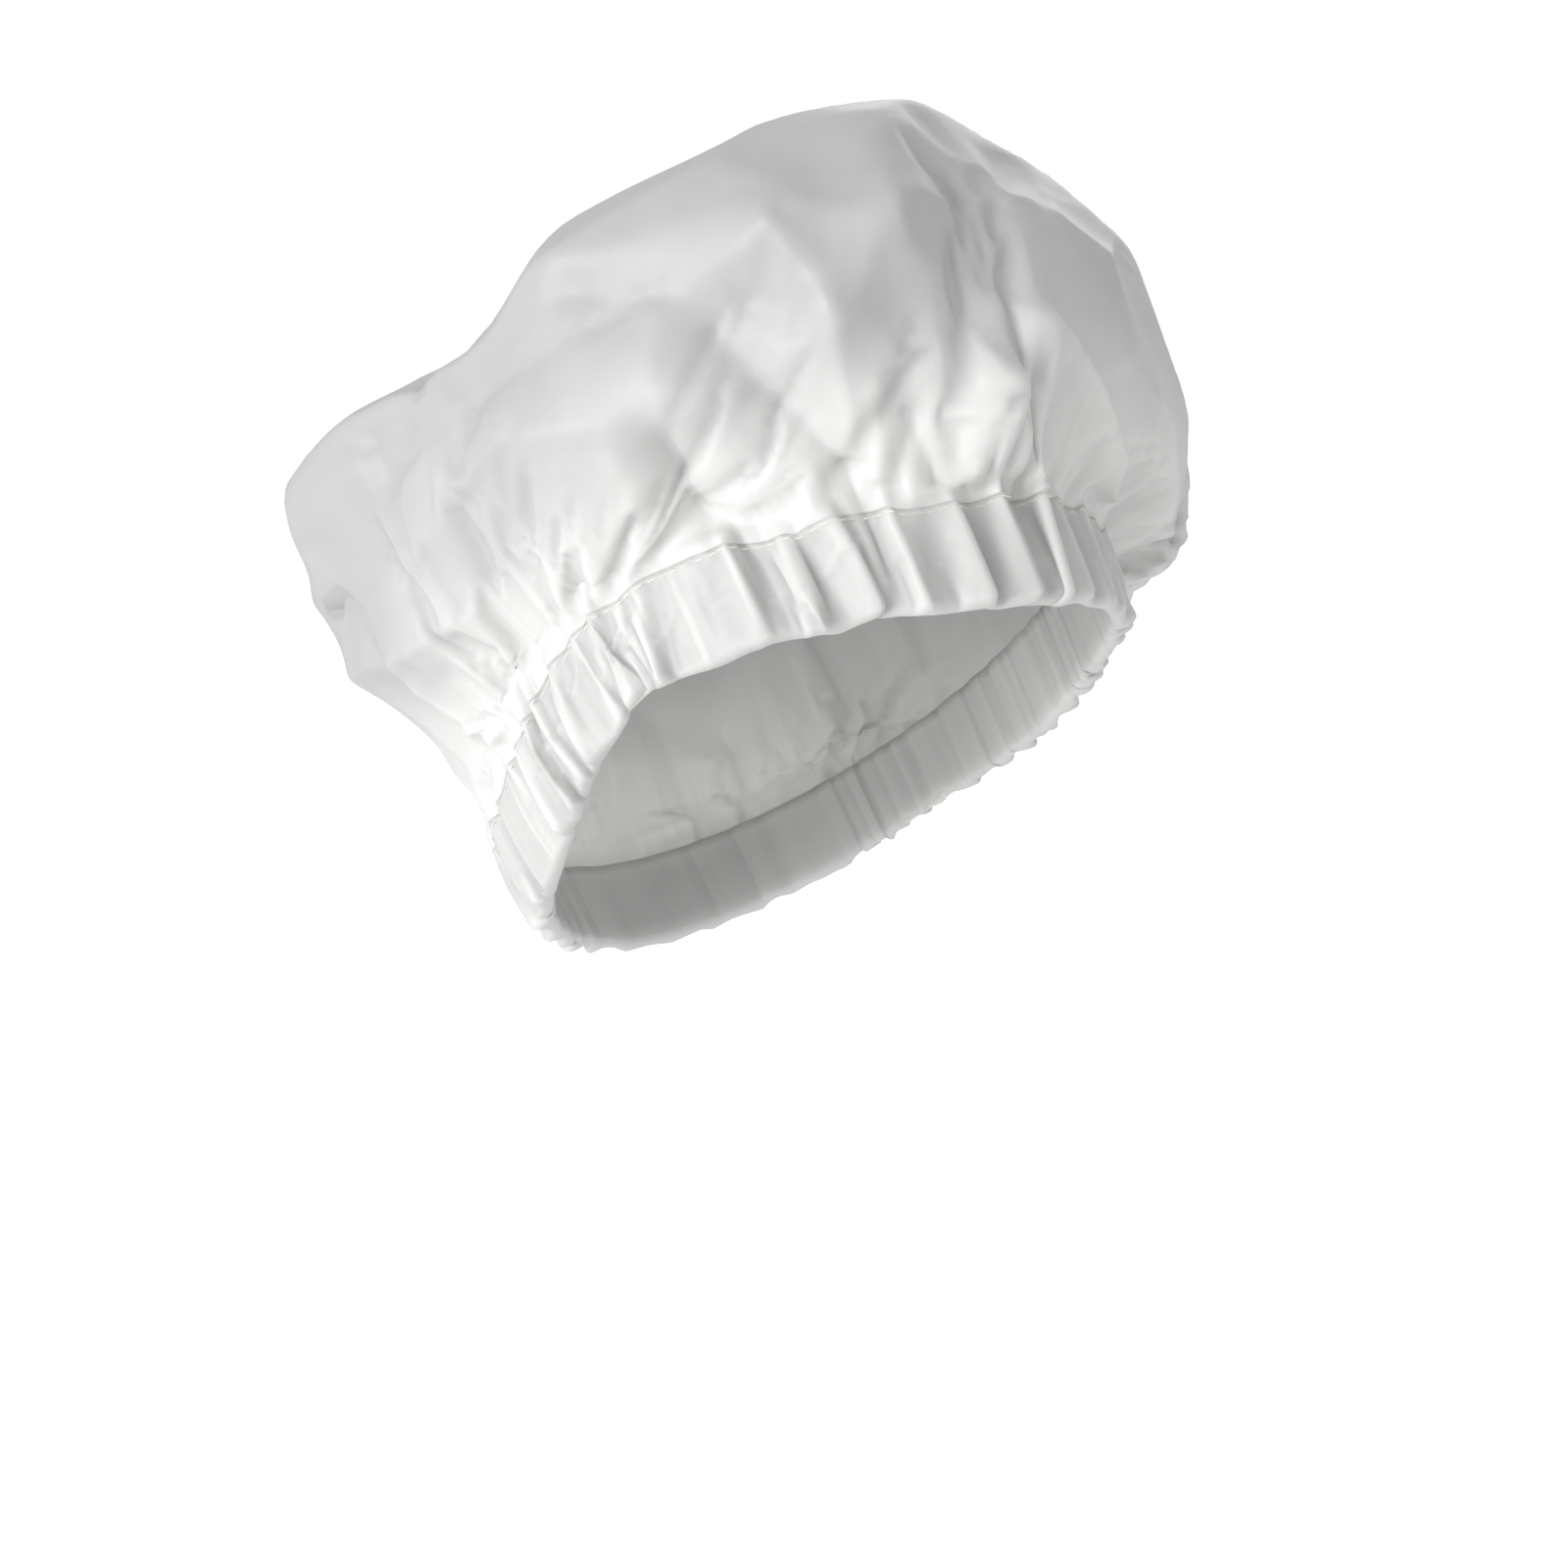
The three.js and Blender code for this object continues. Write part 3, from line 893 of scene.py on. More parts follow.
    def faces(self, first_ring: int = 0, last_ring: int | None = None) -> Faces:
        """Joins each ring to the next, which has as many columns or half as many.

        Args:
            first_ring: The ring to start at.
            last_ring: The ring to stop at, or None to close the net at the apex.

        Returns:
            Vertex indices of each face, outwards.
        """
        rings = self.ring_levels()
        starts = self.starts()
        stop = len(rings) - 1 if last_ring is None else last_ring
        faces: Faces = []
        for ring in range(first_ring, stop):
            low, high = starts[ring], starts[ring + 1]
            many, few = rings[ring][0], rings[ring + 1][0]
            ratio = many // few
            for column in range(few):
                here = high + column
                there = high + (column + 1) % few
                first = low + column * ratio
                last = low + (column + 1) * ratio % many
                if ratio == 1:
                    faces.append((first, last, there, here))
                else:
                    faces.append((first, first + 1, here))
                    faces.append((here, first + 1, there))
                    faces.append((first + 1, last, there))
        if last_ring is None:
            low, count, apex = starts[-2], rings[-1][0], starts[-1]
            faces += [(low + k, low + (k + 1) % count, apex) for k in range(count)]
        return faces


@dataclass(frozen=True)
class Facets:
    """Flat patches that stiff film falls into between its creases, scattered by a fixed seed."""

    net: FilmNet
    count: int = 75
    seed: int = 5
    low: float = 1.4
    ease: float = 1.8
    high: float = 8.7
    tilt: float = 0.05
    offset: float = 0.7
    nearest: int = 8
    reach_cost: float = 0.002
    edge_round: float = 0.8
    deepest: float = 5.0
    strength: float = 0.75
    sink: float = 2.0
    tries: int = 24
    least_lean: float = 0.3
    top_fade: Range = (8.3, 8.9)

    def planes(self) -> tuple[Array, Array]:
        """Scatters the patches over the crown.

        Returns:
            A point and an outward direction for each patch.
        """
        rng = np.random.default_rng(self.seed)
        chosen: list[tuple[float, float]] = []
        places = np.empty((0, 3))
        for _ in range(self.count):
            angle = rng.uniform(-math.pi, math.pi, self.tries)
            level = rng.uniform(self.low, self.high, self.tries)
            offered = self.net.form.point(angle, level)
            gap = np.full(self.tries, np.inf)
            if len(places):
                gap = np.linalg.norm(offered[:, None] - places[None], axis=-1).min(axis=1)
            best = int(np.argmax(gap))
            chosen.append((angle[best], level[best]))
            places = np.concatenate([places, offered[best : best + 1]])
        angles, levels = np.array(chosen).T
        facing = self.net.form.normal(angles, levels)
        places = places + facing * rng.normal(0.0, self.offset, (self.count, 1))
        return places, unit(facing + rng.normal(0.0, self.tilt, (self.count, 3)))

    def heights(self, patches: tuple[Array, Array], points: Array, normals: Array) -> Array:
        """Gives how far the patches lie from points of the form, blended softly where they meet.

        Args:
            patches: A point and an outward direction for each patch.
            points: Points of the form.
            normals: The form's outward directions there.

        Returns:
            The way out to the patches, in millimetres, below zero where they lie inside.
        """
        places, facing = patches
        apart = np.linalg.norm(points[:, None] - places[None], axis=-1)
        near = np.argsort(apart, axis=1)[:, : self.nearest]
        apart = np.take_along_axis(apart, near, axis=1)
        lean = np.maximum(np.einsum("nkj,nj->nk", facing[near], normals), self.least_lean)
        lift = np.einsum("nkj,nkj->nk", facing[near], places[near] - points[:, None]) / lean
        rank = lift + self.reach_cost * apart**2
        weight = np.exp((rank.min(axis=1, keepdims=True) - rank) / self.edge_round)
        return (weight * lift).sum(axis=1) / weight.sum(axis=1)

    def press(self, settled: Array) -> Array:
        """Presses the settled film towards its nearest patches, and draws in its creases and laps.

        Args:
            settled: The net's settled points in the cap's frame, in millimetres.

        Returns:
            The pressed points.
        """
        net = self.net
        patches = self.planes()
        pressed = settled.copy()
        for start, (columns, level) in zip(net.starts(), net.ring_levels()):
            angle = net.pleats.angle(even_turn(columns))
            levels = np.full(columns, level)
            points = net.form.point(angle, np.maximum(levels, 0.0))
            normals = net.form.normal(angle, np.maximum(levels, 0.0))
            ease = smooth_step(levels, self.low, self.low + self.ease)
            ease = ease * (1 - smooth_step(levels, *self.top_fade))
            depth = np.tanh((self.heights(patches, points, normals) - self.sink) / self.deepest)
            height = ease * self.strength * self.deepest * depth
            line_height, slide = net.fold_offsets(angle, levels, LINES)
            line_ease = smooth_step(levels, 0.0, self.low)
            casing_height, casing_slide = net.fold_offsets(angle, levels, CASING_FOLDS)
            height = height + line_ease * line_height + casing_height
            slide = line_ease * slide + casing_slide
            pressed[start : start + columns] += normals * height[:, None] + along_ring(angle) * slide[:, None]
        return pressed


@dataclass(frozen=True)
class FilmGather:
    """Draws the loose film in to its worn place and lets it buckle into gathers and creases."""

    net: FilmNet
    work_scale: float = 10.0
    work_columns: int = 312
    draw_frames: int = 9
    settle_frames: int = 9
    seam_hold: float = 0.75
    casing_hold: float = 0.55
    low_hold: float = 0.37
    high_hold: float = 0.45
    hold_fade: Range = (2.0, 5.5)
    stiffness: float = 300.0
    bending: float = 14.0
    sheet_mass: float = 0.3
    air_damping: float = 2.0
    quality: int = 6
    furthest: float = 10.0

    def holds(self, net: FilmNet) -> Array:
        """Gives how firmly each vertex of a net is drawn to its worn place, 0 to 1."""
        parts: list[Array] = []
        for columns, level in net.ring_levels():
            climb = float(smooth_step(np.array(level), *self.hold_fade))
            hold = self.low_hold + (self.high_hold - self.low_hold) * climb
            if level < 0:
                hold = self.casing_hold
            if abs(level) < TINY:
                hold = self.seam_hold
            parts.append(np.full(columns, hold))
        return np.concatenate(parts + [np.array([self.high_hold])])

    def stage_object(self, net: FilmNet, worn: Array) -> bpy.types.Object:
        """Makes the working mesh, loose at first and drawn in over a few frames.

        Args:
            net: The working net.
            worn: Its worn points in the cap's frame, in millimetres.

        Returns:
            The working object, with its shape keys and its group of holds.
        """
        mesh = bpy.data.meshes.new("film_work")
        loose = np.concatenate(net.loose_rings() + [net.apex()])
        mesh.from_pydata((loose * MM * self.work_scale).tolist(), [], net.faces())
        work = link_object("film_work", mesh)
        work.shape_key_add(name="loose")
        drawn = work.shape_key_add(name="worn")
        drawn.data.foreach_set("co", (worn * MM * self.work_scale).astype(np.float32).ravel())
        drawn.value = 0.0
        drawn.keyframe_insert("value", frame=1)
        drawn.value = 1.0
        drawn.keyframe_insert("value", frame=self.draw_frames)
        group = work.vertex_groups.new(name="hold")
        for vertex, hold in enumerate(self.holds(net).tolist()):
            group.add([vertex], hold, "REPLACE")
        return work

    def add_cloth(self, work: bpy.types.Object) -> None:
        """Gives the working mesh the film's stiffness."""
        cloth = work.modifiers.new("film", "CLOTH")
        settings = cloth.settings
        settings.quality = self.quality
        settings.mass = self.sheet_mass
        settings.tension_stiffness = self.stiffness
        settings.compression_stiffness = self.stiffness
        settings.shear_stiffness = self.stiffness
        settings.bending_model = "ANGULAR"
        settings.bending_stiffness = self.bending
        settings.air_damping = self.air_damping
        settings.vertex_group_mass = "hold"
        settings.effector_weights.gravity = 0.0
        cloth.collision_settings.use_collision = False
        cloth.point_cache.frame_start = 1
        cloth.point_cache.frame_end = self.draw_frames + self.settle_frames

    def settle(self) -> Array:
        """Runs the gathering.

        Returns:
            The settled points in the cap's frame, in millimetres.
        """
        worn = self.net.worn()
        coarse = replace(self.net, columns=self.work_columns)
        work_worn = coarse.worn()
        work = self.stage_object(coarse, work_worn)
        self.add_cloth(work)
        scene = bpy.context.scene
        for number in range(1, self.draw_frames + self.settle_frames + 1):
            scene.frame_set(number)
        settled = work.evaluated_get(bpy.context.evaluated_depsgraph_get())
        flat = np.empty(len(work_worn) * 3, np.float32)
        settled.data.vertices.foreach_get("co", flat)
        moved = flat.reshape(-1, 3).astype(float) / (MM * self.work_scale) - work_worn
        mesh = work.data
        bpy.data.objects.remove(work)
        bpy.data.meshes.remove(mesh)
        scene.frame_set(1)
        far = np.linalg.norm(moved, axis=1, keepdims=True)
        LOG.info("film settled: moved %.1f mm on average, %.1f mm at most", far.mean(), far.max())
        moved *= np.minimum(1.0, self.furthest / np.maximum(far, TINY))
        return worn + coarse.spread(moved, self.net)


def quads(faces: Faces) -> Array:
    """Lists each face's four corners, a triangle's last one twice."""
    return np.array([face if len(face) == 4 else (*face, face[2]) for face in faces])


def vertex_normals(points: Array, faces: Faces) -> Array:
    """Averages the face directions at each vertex.

    Args:
        points: The sheet's points.
        faces: The sheet's polygons.

    Returns:
        One outward direction for each point.
    """
    corners = quads(faces)
    across = points[corners[:, 2]] - points[corners[:, 0]]
    along = points[corners[:, 3]] - points[corners[:, 1]]
    direction = np.cross(across, along)
    normals = np.zeros_like(points)
    for corner in range(4):
        np.add.at(normals, corners[:, corner], direction)
    return unit(normals)


def ridges(points: Array, faces: Faces, full: float = 0.28) -> Array:
    """Finds the film's ridges and valleys, for painted highlights on the ridges and painted shade in the
    valleys.

    Args:
        points: The sheet's points in millimetres.
        faces: The sheet's polygons.
        full: How far a vertex stands out of its neighbours on the sharpest ridges, in millimetres.

    Returns:
        From -1 in the sharpest valleys to 1 on the sharpest ridges, one value for each point.
    """
    corners = quads(faces)
    total = np.zeros_like(points)
    count = np.zeros(len(points))
    for corner in range(4):
        here, beside = corners[:, corner], corners[:, (corner + 1) % 4]
        np.add.at(total, here, points[beside])
        np.add.at(total, beside, points[here])
        np.add.at(count, here, 1.0)
        np.add.at(count, beside, 1.0)
    stands = ((points - total / count[:, None]) * vertex_normals(points, faces)).sum(axis=1)
    return np.clip(stands / full, -1.0, 1.0)


def walled(points: Array, faces: Faces, rims: list[tuple[int, int]], wall: float) -> tuple[Array, Faces]:
    """Gives a sheet an inner face and closes its rims.

    Args:
        points: The outer face's points.
        faces: The outer face's polygons.
        rims: First vertex and vertex count of each open ring; a lower ring first.
        wall: The wall's thickness in millimetres.

    Returns:
        The points and polygons of the closed wall, the rims' polygons last.
    """
    inner = points - vertex_normals(points, faces) * wall
    count = len(points)
    closed = list(faces)
    closed += [tuple(corner + count for corner in reversed(face)) for face in faces]
    for number, (first, many) in enumerate(rims):
        for column in range(many):
            here = first + column
            there = first + (column + 1) % many
            strip = (there, here, here + count, there + count)
            closed.append(strip if number == 0 else tuple(reversed(strip)))
    return np.concatenate([points, inner]), closed


@dataclass(frozen=True)
class Crown:
    """The puffed bag of film above the seam."""

    net: FilmNet
    film: bpy.types.Material
    wall: float = 0.3
    # Painted light whitens the film near the seam and painted shade greys it towards the top; these set where
    # it fades and how sharply.
    hem_light_fade: float = 3.1
    hem_light_power: float = 4.0
    ridge_valley_shading: float = 0.45
    flat_width: float = 0.452

    def build(self, settled: Array) -> bpy.types.Object:
        """Makes the crown's film wall.

        Args:
            settled: The whole net's settled points.

        Returns:
            The crown piece.
        """
        seam_ring = self.net.casing_rings
        first = self.net.starts()[seam_ring]
        faces = [tuple(corner - first for corner in face) for face in self.net.faces(seam_ring)]
        points = settled[first:]
        rings = self.net.ring_levels()[seam_ring:]
        levels = np.concatenate([np.full(count, level) for count, level in rings])
        # Painted light and shade in the colour: whiter near the seam and on ridges, greyer higher up and in
        # valleys.
        gather = np.exp(-((np.append(levels, len(SECTIONS) - 1) / self.hem_light_fade) ** self.hem_light_power))
        gather = np.clip(gather * (1 + self.ridge_valley_shading * ridges(points, faces)), 0.0, 1.0)
        rim = (0, self.net.columns)
        closed, polygons = walled(points, faces, [rim], self.wall)
        piece = mesh_object("crown_film", self.net.form.place(closed), polygons, self.film, flat_faces=rim[1])
        set_attribute(piece, "gather", np.tile(gather, 2))
        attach(piece, BODY)
        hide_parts("crown")
        return piece


@dataclass(frozen=True)
class HemCasing:
    """The hem: film turned in round the elastic and up to the seam."""

    net: FilmNet
    film: bpy.types.Material
    wall: float = 0.3
    inner_depth: float = 6.6
    inner_follow: float = 0.35
    inner_pleat: float = 0.22
    inner_rings: int = 8
    seam_clear: float = 0.3
    edge_lift: float = 0.3
    fold_drop: float = 2.2
    fold_rings: int = 7
    # An even tone for the casing, with painted highlights on its ridges and painted shade in its valleys.
    casing_tone_share: float = 0.52
    ridge_valley_shading: float = 0.45
    flat_width: float = 0.056
    flat_length: float = 0.7

    def lining(self, edge: Array) -> list[Array]:
        """Makes the inner leaf, from the seam down, and the turned edge that leads to the outer leaf.

        Args:
            edge: The outer leaf's lowest ring.

        Returns:
            Rings of points, from the inner leaf's top to just before the outer leaf.
        """
        form = self.net.form
        angle = self.net.pleats.angle(even_turn(len(edge)))
        edge_angle = np.arctan2(edge[:, 0], -edge[:, 1])
        edge_reach = np.hypot(edge[:, 0], edge[:, 1])
        inner_angle = angle + self.inner_follow * wrap(edge_angle - angle)
        bend = form.hem_bend(inner_angle)
        top = SECTIONS[0].front_rise - self.seam_clear + bend
        low = edge[:, 2] + self.edge_lift
        push = edge_reach - form.hem_reach(edge_angle, 0.0)
        rings: list[Array] = []
        for step in range(self.inner_rings):
            rise = top + (low - top) * (step / (self.inner_rings - 1))
            reach = form.hem_reach(inner_angle, rise - bend) - self.inner_depth + self.inner_pleat * push
            rings.append(ring_points(inner_angle, reach, rise))
        inner_reach = np.hypot(rings[-1][:, 0], rings[-1][:, 1])
        for step in range(1, self.fold_rings):
            turned = math.pi * step / self.fold_rings
            share = 0.5 * (1 - math.cos(turned))
            reach = inner_reach + (edge_reach - inner_reach) * share
            way = inner_angle + wrap(edge_angle - inner_angle) * share
            rise = low + (edge[:, 2] - low) * share - self.fold_drop * math.sin(turned)
            rings.append(ring_points(way, reach, rise))
        return rings

    def build(self, settled: Array) -> bpy.types.Object:
        """Makes the casing's film wall.

        Args:
            settled: The whole net's settled points.

        Returns:
            The casing piece.
        """
        net = self.net
        columns = net.columns
        outer = settled[: net.starts()[net.casing_rings + 1]].reshape(-1, columns, 3)
        stack = np.concatenate([np.stack(self.lining(outer[0])), outer])
        count = len(stack)
        points = stack.reshape(-1, 3)
        faces: Faces = []
        for ring in range(count - 1):
            low_row, high_row = ring * columns, (ring + 1) * columns
            for column in range(columns):
                beside = (column + 1) % columns
                faces.append((low_row + column, low_row + beside, high_row + beside, high_row + column))
        rims = [(0, columns), ((count - 1) * columns, columns)]
        closed, polygons = walled(points, faces, rims, self.wall)
        placed = net.form.place(closed)
        piece = mesh_object("casing_film", placed, polygons, self.film, flat_faces=2 * columns)
        # Painted highlights on the casing's ridges and painted shade in its valleys, about an even tone.
        gather = np.clip(self.casing_tone_share + self.ridge_valley_shading * ridges(points, faces), 0.0, 1.0)
        set_attribute(piece, "gather", np.tile(gather, 2))
        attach(piece, BODY)
        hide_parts("hem_casing")
        return piece


@dataclass(frozen=True)
class SeamStitches:
    """The row of machine stitches that closes the casing, laid along the film just below the seam."""

    net: FilmNet
    textile: bpy.types.Material
    pitch: float = 3.8
    length: float = 2.7
    thread: float = 0.45
    lift: float = 0.08
    vary: float = 0.12
    seed: int = 3
    sides: int = 8
    rounds: int = 6

    def tree(self) -> bpy.types.NodeTree:
        """Builds the node tree that lays one stitch at each step along a closed line.

        Returns:
            The geometry node tree.
        """
        tree = bpy.data.node_groups.new("stitch_row", "GeometryNodeTree")
        tree.interface.new_socket("Geometry", in_out="INPUT", socket_type="NodeSocketGeometry")
        for name in ("Pitch", "Length", "Thread"):
            tree.interface.new_socket(name, in_out="INPUT", socket_type="NodeSocketFloat")
        tree.interface.new_socket("Material", in_out="INPUT", socket_type="NodeSocketMaterial")
        tree.interface.new_socket("Geometry", in_out="OUTPUT", socket_type="NodeSocketGeometry")
        kit = NodeKit(tree)
        given = kit.add("NodeGroupInput")
        line = kit.add("GeometryNodeMeshToCurve")
        steps = kit.add("GeometryNodeResampleCurve", mode="LENGTH")
        # A ball one across, which each stitch's sizes then scale.
        stitch = kit.add("GeometryNodeMeshUVSphere", Segments=self.sides, Rings=self.rounds, Radius=0.5)
        tangent = kit.add("GeometryNodeInputTangent")
        turned = kit.add("FunctionNodeAlignRotationToVector", axis="Z")
        # A random number's limits are its third and fourth inputs, and it comes out second.
        vary = kit.add("FunctionNodeRandomValue", data_type="FLOAT", Seed=self.seed)
        vary.inputs[2].default_value = 1.0 - self.vary
        vary.inputs[3].default_value = 1.0 + self.vary
        longer = kit.add("ShaderNodeMath", operation="MULTIPLY")
        size = kit.add("ShaderNodeCombineXYZ")
        laid = kit.add("GeometryNodeInstanceOnPoints")
        real = kit.add("GeometryNodeRealizeInstances")
        finish = kit.add("GeometryNodeSetMaterial")
        made = kit.add("NodeGroupOutput")
        kit.link(given.outputs["Geometry"], line.inputs["Mesh"])
        kit.link(line.outputs["Curve"], steps.inputs["Curve"])
        kit.link(given.outputs["Pitch"], steps.inputs["Length"])
        kit.link(steps.outputs["Curve"], laid.inputs["Points"])
        kit.link(stitch.outputs["Mesh"], laid.inputs["Instance"])
        kit.link(tangent.outputs["Tangent"], turned.inputs["Vector"])
        kit.link(turned.outputs["Rotation"], laid.inputs["Rotation"])
        kit.link(given.outputs["Length"], longer.inputs[0])
        kit.link(vary.outputs[1], longer.inputs[1])
        kit.link(given.outputs["Thread"], size.inputs["X"])
        kit.link(given.outputs["Thread"], size.inputs["Y"])
        kit.link(longer.outputs["Value"], size.inputs["Z"])
        kit.link(size.outputs["Vector"], laid.inputs["Scale"])
        kit.link(laid.outputs["Instances"], real.inputs["Geometry"])
        kit.link(real.outputs["Geometry"], finish.inputs["Geometry"])
        kit.link(given.outputs["Material"], finish.inputs["Material"])
        kit.link(finish.outputs["Geometry"], made.inputs["Geometry"])
        return tree

    def build(self, settled: Array) -> bpy.types.Object:
        """Lays the stitches along the settled film.

        Args:
            settled: The whole net's settled points.

        Returns:
            The stitches as one piece.
        """
        ring = self.net.casing_rings - 1
        first = self.net.starts()[ring]
        columns = self.net.columns
        normals = vertex_normals(settled, self.net.faces(0, self.net.casing_rings + 2))
        row = settled[first : first + columns] + normals[first : first + columns] * self.lift
        guide_mesh = bpy.data.meshes.new("stitch_guide")
        edges = [(column, (column + 1) % columns) for column in range(columns)]
        guide_mesh.from_pydata(self.net.form.place(row).tolist(), edges, [])
        guide = link_object("stitch_guide", guide_mesh)
        tree = self.tree()
        modifier = guide.modifiers.new("stitches", "NODES")
        modifier.node_group = tree
        sizes = {"Pitch": self.pitch, "Length": self.length, "Thread": self.thread}
        values = {name: size * MM for name, size in sizes.items()} | {"Material": self.textile}
        for item in tree.interface.items_tree:
            if item.name in values:
                modifier[item.identifier] = values[item.name]
        drawn = guide.evaluated_get(bpy.context.evaluated_depsgraph_get())
        mesh = bpy.data.meshes.new_from_object(drawn)
        bpy.data.objects.remove(guide)
        bpy.data.meshes.remove(guide_mesh)
        mesh.name = "seam_stitches"
        mesh.polygons.foreach_set("use_smooth", np.ones(len(mesh.polygons), bool))
        piece = link_object("seam_stitches", mesh)
        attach(piece, BODY)
        return piece


@dataclass(frozen=True)
class HemEasing:
    """Eases the film at the hem: straight gathers over the seam, calm pleats, and room for the elastic."""

    net: FilmNet
    straight_in: Range = (-0.3, 0.0)
    straight_out: Range = (0.6, 1.5)
    passes: int = 60
    pass_share: float = 0.5
    calm_share: float = 0.7
    calm_out: Range = (0.6, 1.0)
    deepest: float = 3.9
    soften: float = 0.4

    def straighten(self, points: Array) -> Array:
        """Lets the gathers run straight from the casing over the seam, with no roll across them.

        Args:
            points: The settled points.

        Returns:
            The points, each ring near the seam eased towards the rings below and above it.
        """
        columns = self.net.columns
        levels = np.array([level for count, level in self.net.ring_levels() if count == columns])
        share = smooth_step(levels, *self.straight_in) * (1 - smooth_step(levels, *self.straight_out))
        straight = points.copy()
        block = straight[: len(levels) * columns].reshape(len(levels), columns, 3)
        steps = np.linalg.norm(np.diff(block, axis=0), axis=-1).mean(axis=1)
        below = steps[:-1, None, None]
        above = steps[1:, None, None]
        for _ in range(self.passes):
            middle = (block[:-2] * above + block[2:] * below) / (above + below)
            block[1:-1] += self.pass_share * share[1:-1, None, None] * (middle - block[1:-1])
        return straight

    def calm(self, points: Array) -> Array:
        """Takes most of the crumples out of the casing, whose pleats run in plain bows from seam to hem.

        Args:
            points: The pressed points.

        Returns:
            The points with a calmer casing.
        """
        rings = self.net.casing_rings
        last = self.net.starts()[rings]
        casing = points[:last].reshape(rings, -1)
        climb = np.linspace(-1.0, 1.0, rings)
        bows = np.vander(climb, 3)
        fitted = bows @ np.linalg.lstsq(bows, casing, rcond=None)[0]
        ease = self.calm_share * (1 - smooth_step(climb, *self.calm_out))
        calmed = points.copy()
        calmed[:last] = (casing + ease[:, None] * (fitted - casing)).reshape(last, 3)
        return calmed

    def clear_elastic(self, points: Array) -> Array:
        """Keeps the casing's outer film clear of the elastic inside it.

        Args:
            points: The pressed points.

        Returns:
            The points with those lifted that sank too far below the hem's crests.
        """
        form = self.net.form
        lifted = points.copy()
        part = lifted[: self.net.starts()[self.net.casing_rings + 1]]
        angle = np.arctan2(part[:, 0], -part[:, 1])
        reach = np.hypot(part[:, 0], part[:, 1])
        least = form.hem_reach(angle, part[:, 2] - form.hem_bend(angle)) - self.deepest
        spare = reach - least
        part[:, :2] *= ((least + 0.5 * (spare + np.hypot(spare, self.soften))) / reach)[:, None]
        return lifted


class Lamp(NamedTuple):
    """A soft lamp: its place along the camera's right, up and back, its width in metres and its watts."""

    name: str
    right: float
    up: float
    back: float
    size: float
    power: float


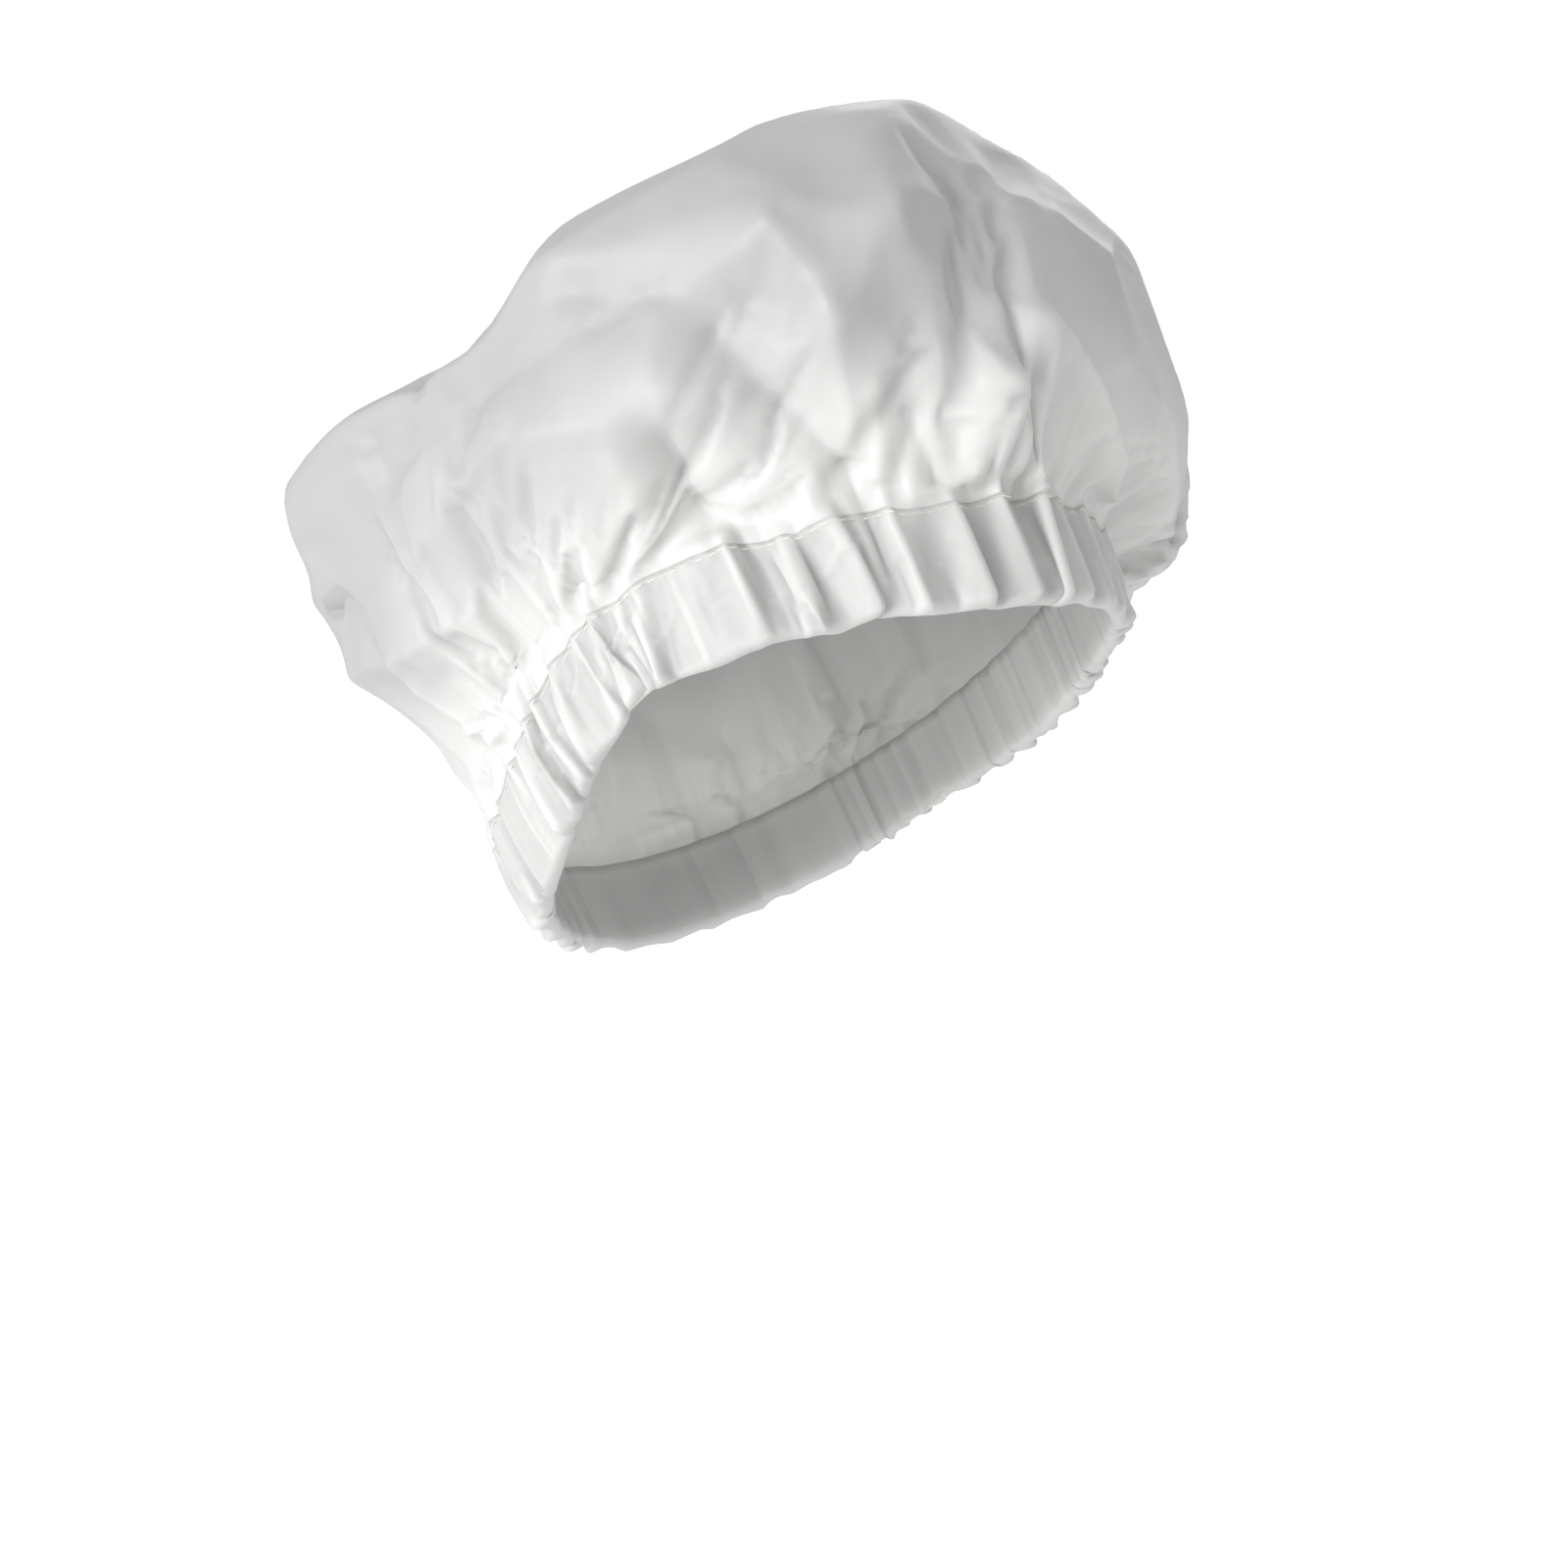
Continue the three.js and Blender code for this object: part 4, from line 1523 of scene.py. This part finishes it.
@dataclass(frozen=True)
class Studio:
    """Pale floor, soft light and a camera at the photograph's angle."""

    azimuth_deg: float = -36.0
    elevation_deg: float = 19.0
    distance: float = 0.8
    millimetres_per_pixel: float = 0.26
    hem_centre_px: tuple[float, float] = (847.0, 800.0)
    near_clip: float = 0.01
    aim: tuple[float, float, float] = (0.0, 0.02, 0.06)
    lamps: tuple[Lamp, ...] = (
        Lamp("key", -0.95, 0.1, 0.95, 0.8, 12.0),
        Lamp("rim", 0.25, 0.7, -0.8, 0.6, 2.5),
    )
    surround: float = 0.7
    floor_half: float = 12.0
    floor_drop: float = 0.25
    floor_lift: float = 0.38
    floor_colour: Colour = (0.97, 0.97, 0.97, 1.0)
    floor_roughness: float = 0.9

    def view_axes(self) -> tuple[Vector, Vector, Vector]:
        """Gives the camera's right, up and backward directions."""
        turn = math.radians(self.azimuth_deg)
        lift = math.radians(self.elevation_deg)
        back = Vector((math.sin(turn) * math.cos(lift), -math.cos(turn) * math.cos(lift), math.sin(lift)))
        right = Vector((math.cos(turn), math.sin(turn), 0.0))
        return right, back.cross(right), back

    def build_camera(self) -> None:
        """Sets the camera so that the hem's middle falls where the photograph has it."""
        right, up, back = self.view_axes()
        shift_x = (IMAGE_SIDE / 2 - self.hem_centre_px[0]) * self.millimetres_per_pixel * MM
        shift_y = (self.hem_centre_px[1] - IMAGE_SIDE / 2) * self.millimetres_per_pixel * MM
        data = bpy.data.cameras.new("camera")
        data.sensor_width = SENSOR_MM
        data.lens = SENSOR_MM * self.distance / (self.millimetres_per_pixel * MM * IMAGE_SIDE)
        data.clip_start = self.near_clip
        camera = link_object("camera", data)
        axes = Matrix((right, up, back)).transposed().to_4x4()
        axes.translation = back * self.distance + right * shift_x + up * shift_y
        camera.matrix_world = axes
        bpy.context.scene.camera = camera

    def add_lamp(self, lamp: Lamp) -> None:
        """Adds one soft lamp aimed at the cap."""
        right, up, back = self.view_axes()
        data = bpy.data.lights.new(lamp.name, "AREA")
        data.size = lamp.size
        data.energy = lamp.power
        made = link_object(lamp.name, data)
        made.location = back * lamp.back + right * lamp.right + up * lamp.up
        made.rotation_euler = (Vector(self.aim) - made.location).to_track_quat("-Z", "Y").to_euler()

    def build_lights(self) -> None:
        """Lights the cap from the camera's left and from behind, with a bright surround."""
        for lamp in self.lamps:
            self.add_lamp(lamp)
        world = bpy.data.worlds.new("surround")
        world.use_nodes = True
        tree = world.node_tree
        tree.nodes.clear()
        kit = NodeKit(tree)
        sight = kit.add("ShaderNodeLightPath")
        strength = kit.add("ShaderNodeMapRange", To_Min=self.surround, To_Max=1.0)
        kit.link(sight.outputs["Is Camera Ray"], strength.inputs["Value"])
        sky = kit.add("ShaderNodeBackground", Color=WHITE)
        kit.link(strength.outputs["Result"], sky.inputs["Strength"])
        output = kit.add("ShaderNodeOutputWorld")
        kit.link(sky.outputs["Background"], output.inputs["Surface"])
        bpy.context.scene.world = world
        bpy.context.scene.view_settings.view_transform = "Standard"

    def build_floor(self) -> None:
        """Lays a wide pale floor below the cap."""
        material = bpy.data.materials.new("pale_floor")
        material.use_nodes = True
        kit = NodeKit(material.node_tree)
        shader = material.node_tree.nodes["Principled BSDF"]
        shader.inputs["Base Color"].default_value = self.floor_colour
        shader.inputs["Roughness"].default_value = self.floor_roughness
        shader.inputs["Emission Color"].default_value = WHITE
        sight = kit.add("ShaderNodeLightPath")
        lift = kit.add("ShaderNodeMath", operation="MULTIPLY")
        lift.inputs[1].default_value = self.floor_lift
        kit.link(sight.outputs["Is Camera Ray"], lift.inputs[0])
        kit.link(lift.outputs["Value"], shader.inputs["Emission Strength"])
        half = self.floor_half
        corners = np.array([(-half, -half), (half, -half), (half, half), (-half, half)])
        points = np.column_stack([corners, np.full(4, -self.floor_drop)])
        floor = mesh_object("floor", points, [(0, 1, 2, 3)], material)


def main() -> None:
    """Builds and dresses every piece of the cap."""
    logging.basicConfig(level=logging.INFO, format="%(name)s: %(message)s")
    studio = Studio()
    studio.build_camera()
    studio.build_lights()
    studio.build_floor()
    tint = CloudyTint().build()
    film = FilmFinish(tint).build()
    textile = TextileFinish(tint).build()
    form = CapForm()
    net = FilmNet(form, PleatRing())
    easing = HemEasing(net)
    settled = easing.straighten(FilmGather(net).settle())
    settled = easing.clear_elastic(easing.calm(Facets(net).press(settled)))
    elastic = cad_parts["elastic"]
    elastic.data.materials.clear()
    elastic.data.materials.append(textile)
    pieces = (
        Crown(net, film).build(settled),
        HemCasing(net, film).build(settled),
        SeamStitches(net, textile).build(settled),
        elastic,
    )
    for piece in pieces:
        LOG.info("%s: %d faces", piece.name, len(piece.data.polygons))


if __name__ == "__main__":
    main()
